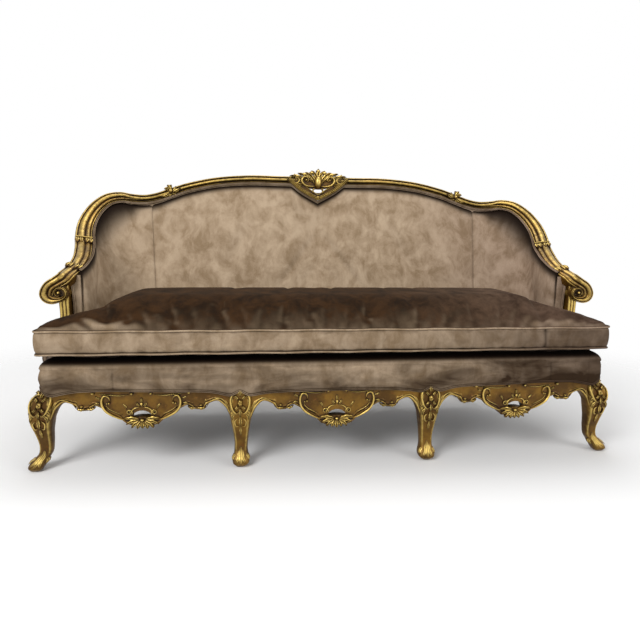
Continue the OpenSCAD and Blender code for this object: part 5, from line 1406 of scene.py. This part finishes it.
# %% [markdown]
# ## The cushion
# The loose cushion is one long T: its front corners run out in front of the arms.
# Its top and bottom are sheets between four edges, joined by an upright border.
# A solid with rounded edges would look hard, so cloth simulation fills it: the
# seams are pinned, pressure blows the sheets out, and each place is held within
# 26 mm of its start. One subdivision smooths it, and cord is laid on the seams.

# %% The cushion's outline
FRONT_EDGE, EAR_BACK, SIDE_GAP = -0.030, 0.130, 0.005
wing_face = pad_rings(np.arange(WING_FULL, WING_END - 14))[0][:, :80, 0].min()
body = np.arange(WING_END - 4, -1, -2)
body_line = wall[body] + way_in[body] * (pad_thick(body) + SIDE_GAP)[:, None]
body_line[:, 0] = np.minimum(body_line[:, 0], wing_face - SIDE_GAP)
body_line = body_line[body_line[:, 1] > EAR_BACK + 0.012]
round_front = np.column_stack([0.920 + 0.018 * np.cos(corner), -0.012 + 0.018 * np.sin(corner)])
round_back = np.column_stack([0.922 + 0.016 * np.cos(corner + np.pi / 2),
                              0.114 + 0.016 * np.sin(corner + np.pi / 2)])
turn_in = np.array([[body_line[0, 0] + 0.010, EAR_BACK],
                    [body_line[0, 0] + 0.003, EAR_BACK + 0.004]])
beyond = body_line[:, 0] > 0.655
side_edge = np.vstack([round_front, round_back, turn_in, body_line[beyond]])
back_edge = body_line[~beyond]
print("cushion: side edge", len(side_edge), "places, back edge", len(back_edge))

NU, NV = 150, 54
side = evenly(np.vstack([[0.920, FRONT_EDGE], side_edge, back_edge[:1]]), NV)
back = evenly(np.vstack([back_edge, back_edge[::-1] * (-1, 1)]), NU)[::-1]
u, v = np.meshgrid(np.linspace(0, 1, NU), np.linspace(0, 1, NV))
base_x = lerp(np.linspace(-0.920, 0.920, NU)[None], back[None, :, 0], v**3)
base_y = lerp(FRONT_EDGE, np.interp(base_x, back[:, 0], back[:, 1]), v)
plan = np.stack([base_x, base_y], -1)
for edge_line, near in ((side, u), (side * (-1, 1), 1 - u)):
    column = -1 if edge_line[0, 0] > 0 else 0
    pull = (edge_line - plan[:, column])[:, None]
    plan = plan + pull * ease((near - 0.72) / 0.28)[..., None]
# the rows and columns of the plan's rim, once round
loop_v = np.r_[np.zeros(NU - 1, int), np.arange(NV - 1),
               np.full(NU - 1, NV - 1), np.arange(NV - 1, 0, -1)]
loop_u = np.r_[np.arange(NU - 1), np.full(NV - 1, NU - 1),
               np.arange(NU - 1, 0, -1), np.zeros(NV - 1, int)]
seam_line = plan[loop_v, loop_u]

# %% The cushion's sheets
SEAM_LOW, SEAM_TOP, SEAM_IN = 0.402, 0.474, 0.0080


def leaning(line, z):
    """The back edge of the cushion leans with the back: further out when higher."""
    k = 0.26 * ease((line[:, 1] - 0.400) / 0.101)
    return line + right_of(round_way(line)) * (k * (z - SEAM_LOW))[:, None]


def at_ear(x):
    """0 along the seat and 1 in the cushion's ears, with a slow start and end."""
    return ease((np.abs(x) - 0.76) / 0.15)


# two soft creases in the cushion's top: places across and back, in metres, and the
# depth as a share of the top's rise
top_creases = [[0.750, 0.44, 0.700, -0.02, 0.013, 0.15], [-0.800, 0.34, -0.730, 0.00, 0.012, 0.08]]


def crown(grid, rise):
    """A sheet's rise: nothing at its edge, most along a line a little in from it.
    It grows with the distance from the nearest edge, fast and then slowly."""
    edge_line = grid[loop_v, loop_u]
    far = np.full(grid.shape[:2], 9.0)
    for part in np.array_split(np.arange(len(edge_line)), 8):
        gap = np.linalg.norm(grid[:, :, None] - edge_line[part][None, None], axis=-1).min(-1)
        far = np.minimum(far, gap)
    x, y = grid[..., 0], grid[..., 1]
    roll = dome(1 - np.minimum(far / 0.020, 1)) * (1 - 0.28 * at_ear(x))
    broad = (ease(far / 0.18 + 0.03) * lerp(0.86, 1.0, ease((y - FRONT_EDGE) / 0.32))
             * (1 - 0.35 * at_ear(x)))
    return rise * (0.32 * roll + 0.68 * broad - folds(x, y, top_creases)), far


seam_top = leaning(offset(seam_line, SEAM_IN), SEAM_TOP)
seam_low = offset(seam_line, SEAM_IN)


def fitted(loop):
    """The plan drawn to a new edge: the change at the edge fades into the sheet."""
    grid = plan.copy()
    grid[loop_v, loop_u] = loop
    move, out = grid - plan, plan
    for side_move, cells in ((move[:, :1], u * (NU - 1)), (move[:, -1:], (1 - u) * (NU - 1)),
                             (move[:1], v * (NV - 1)), (move[-1:], (1 - v) * (NV - 1))):
        out = out + side_move * ease(1 - cells / 6)[..., None]
    out[loop_v, loop_u] = loop
    return out


top_plan, low_plan = fitted(seam_top), fitted(seam_low)
rise, far = crown(top_plan, 0.071)
sag, _ = crown(low_plan, 0.016)
top_sheet = np.dstack([top_plan, SEAM_TOP + rise])
low_sheet = np.dstack([low_plan, SEAM_LOW - sag])
ring_count = 9
border = []
for t in np.linspace(0, 1, ring_count + 2)[1:-1]:
    z = lerp(SEAM_LOW, SEAM_TOP, t)
    inset = SEAM_IN * (1 - np.sin(np.pi * t)**0.35)
    border.append(level_at(leaning(offset(seam_line, inset), z), z))
border = np.array(border)

N = NU * NV
rim = loop_v * NU + loop_u
count = len(rim)
points = np.vstack([top_sheet.reshape(-1, 3), low_sheet.reshape(-1, 3), border.reshape(-1, 3)])
cells = (np.arange(NV - 1)[:, None] * NU + np.arange(NU - 1)).ravel()
sheets = np.stack([cells, cells + 1, cells + NU + 1, cells + NU], -1)
bands = np.vstack([rim + N, 2 * N + np.arange(ring_count * count).reshape(ring_count, count), rim])
walls = np.stack([bands[:-1], np.roll(bands, -1, 1)[:-1], np.roll(bands, -1, 1)[1:], bands[1:]],
                 -1).reshape(-1, 4)
faces = np.vstack([sheets, sheets[:, ::-1] + N, walls])
mesh = bpy.data.meshes.new("cushion_velvet")
mesh.from_pydata((points + (0, FRONT, 0)).tolist(), [], faces.tolist())
mesh.update()
cushion = bpy.data.objects.new("cushion_velvet", mesh)
scene.collection.objects.link(cushion)
print("cushion cage:", len(points), "points", len(faces), "quads")

# %% Filling the cushion
def filled(obj, pinned, most, frames=20):
    """Lets pressure fill a closed cover whose seams are pinned, and holds each
    place within a distance of where it started."""
    start = np.empty(len(obj.data.vertices) * 3, np.float32)
    obj.data.vertices.foreach_get("co", start)
    group = obj.vertex_groups.new(name="seams")
    group.add([int(k) for k in pinned], 1.0, "REPLACE")
    cloth = obj.modifiers.new("filling", "CLOTH")
    s = cloth.settings
    s.quality, s.mass = 6, 0.35
    s.tension_stiffness = s.compression_stiffness = 14
    s.shear_stiffness, s.bending_stiffness = 6, 0.6
    s.tension_damping = s.compression_damping = 8
    s.use_pressure, s.uniform_pressure_force = True, 4.0
    s.vertex_group_mass = "seams"
    s.pin_stiffness = 1.0
    s.shrink_min = -0.035
    s.effector_weights.gravity = 0.0
    cloth.collision_settings.use_collision = False
    cloth.point_cache.frame_start, cloth.point_cache.frame_end = 1, frames
    for number in range(1, frames + 1):
        scene.frame_set(number)
    shaped = obj.evaluated_get(bpy.context.evaluated_depsgraph_get())
    end = np.empty_like(start)
    shaped.data.vertices.foreach_get("co", end)
    obj.modifiers.remove(cloth)
    start, end = start.reshape(-1, 3), end.reshape(-1, 3)
    move = end - start
    far = np.linalg.norm(move, axis=1, keepdims=True)
    move *= np.minimum(1, most / np.maximum(far, 1e-9))
    print(f"filling moved the cover by up to {float(far.max()) * 1000:.0f} mm, "
          f"and half of it by less than {float(np.median(far)) * 1000:.0f} mm")
    # the filling stands less in the ears than along the middle
    move *= 1 - 0.55 * at_ear(start[:, :1])
    shape = start + move
    shape[:, 2] = np.maximum(shape[:, 2], DECK + 0.0006)
    obj.data.vertices.foreach_set("co", shape.ravel())
    scene.frame_set(1)


filled(cushion, np.r_[rim, rim + N], 0.026)

# %% The finished cushion
# painted shade: the top is darker near its seam, the underside dark all over, and the border darker
# near its top and foot and along two seams
worn_and_shaded = np.zeros(len(points))
worn_and_shaded[:N] = 0.5 - 0.20 * np.exp(-(far.ravel() / 0.008)**2)
border_shade = 0.5 - 0.42 * np.linspace(-1, 1, ring_count + 2)[1:-1]**6
seams_x = sum(np.exp(-((seam_line[:, 0] - at) / 0.004)**2) * (seam_line[:, 1] < 0.0)
              for at in (-0.691, 0.699))
worn_and_shaded[2 * N:] = (border_shade[:, None] - 0.32 * seams_x[None]).ravel()
mesh.attributes.new("wear", "FLOAT", "POINT").data.foreach_set("value", worn_and_shaded.astype(np.float32))
outward(mesh, 180)
mesh.materials.append(velvet)
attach(cushion, "cushion")
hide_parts("seat_cushion")
fine = cushion.modifiers.new("finer", "SUBSURF")
fine.levels = fine.render_levels = 1


def cord_loop(z, radius=0.004, steps=900, waves=23):
    """A covered cord round a seam: circles on the outline, a little in from it, that
    rise and fall slightly as a sewn cord does."""
    line = evenly(leaning(offset(seam_line, 0.0042), z), steps, closed=True)
    out = level_at(right_of(round_way(line)), 0.0)
    middle = level_at(line, z + 0.0008 * np.sin(np.arange(steps) * 2 * np.pi * waves / steps))
    a = np.linspace(0, 2 * np.pi, 12, endpoint=False)
    ring = (middle[:, None] + out[:, None] * (radius * np.cos(a))[None, :, None]
            + np.array([0, 0, 1.0]) * (radius * np.sin(a))[None, :, None])
    # painted shade: the cord's outer side lighter, its inner side darker
    return ring, np.broadcast_to(0.44 + 0.2 * np.cos(a), (steps, 12))


for name, node, z in (("cushion_cord_top", "cushion_piping_top", SEAM_TOP),
                      ("cushion_cord_bottom", "cushion_piping_bottom", SEAM_LOW)):
    object_from(name, Shape().add(*cord_loop(z), looped=True), "velvet", [node], "cushion")

# %% [markdown]
# ## The room
# A plain pale floor and soft light from above and from the left, as in a studio.
# The floor fades away with distance, so that the white world behind it meets it
# without an edge, and near the sofa it still takes a shadow.

# %% Floor, light and world
def pale_floor():
    f = Finish("pale_floor", Roughness=0.9, Base_Color=(0.93, 0.93, 0.93, 1))
    far = f.add("VectorMath", {"operation": "LENGTH"}, {0: f.where}, out=1)
    gone = f.add("BsdfTransparent")
    mixed = f.add("MixShader", sockets={0: f.band(far, 1.1, 2.6)})
    tree = f.tree
    out = [n for n in tree.nodes if n.type == "OUTPUT_MATERIAL"][0]
    tree.links.new(f.shader.outputs[0], mixed.socket.node.inputs[1])
    tree.links.new(gone.socket, mixed.socket.node.inputs[2])
    tree.links.new(mixed.socket, out.inputs[0])
    return f.material


around = np.linspace(0, 2 * np.pi, 96, endpoint=False)
disc = np.stack([3 * np.cos(around), 3 * np.sin(around), 0 * around], -1)
floor_mesh = bpy.data.meshes.new("floor")
floor_mesh.from_pydata(disc.tolist(), [], [list(range(96))])
floor_mesh.materials.append(pale_floor())
floor = bpy.data.objects.new("floor", floor_mesh)
scene.collection.objects.link(floor)

world = bpy.data.worlds.new("studio")
scene.world = world
world.use_nodes = True
tree = world.node_tree
path, seen, shiny, strength = (tree.nodes.new("ShaderNode" + kind)
                               for kind in ("LightPath", "Math", "Math", "MapRange"))
seen.operation = shiny.operation = "MAXIMUM"
strength.inputs["To Min"].default_value = 0.42
sky = tree.nodes["Background"]
sky.inputs["Color"].default_value = (1, 1, 1, 1)
# white to the camera and to reflections, and softer as the light in the room
for source, target in ((path.outputs["Is Camera Ray"], seen.inputs[0]),
                       (path.outputs["Is Glossy Ray"], shiny.inputs[0]),
                       (path.outputs["Is Transmission Ray"], shiny.inputs[1]),
                       (shiny.outputs[0], seen.inputs[1]),
                       (seen.outputs[0], strength.inputs["Value"]),
                       (strength.outputs[0], sky.inputs["Strength"])):
    tree.links.new(source, target)


def soft_light(name, place, aim, size, watts):
    """A square lamp that faces a point."""
    lamp = bpy.data.lights.new(name, "AREA")
    lamp.size, lamp.energy = size, watts
    obj = bpy.data.objects.new(name, lamp)
    way = Vector(aim) - Vector(place)
    obj.matrix_world = Matrix.Translation(place) @ way.to_track_quat("-Z", "Y").to_matrix().to_4x4()
    scene.collection.objects.link(obj)


soft_light("key", (-2.2, -2.6, 2.6), (0, 0, 0.5), 1.8, 95)
soft_light("fill", (2.6, -2.2, 1.6), (0, 0, 0.5), 2.0, 28)
soft_light("above", (0.2, 0.4, 3.0), (0, 0, 0.4), 1.8, 40)
scene.view_settings.view_transform = "Standard"

# %% Finish
bpy.context.view_layer.update()
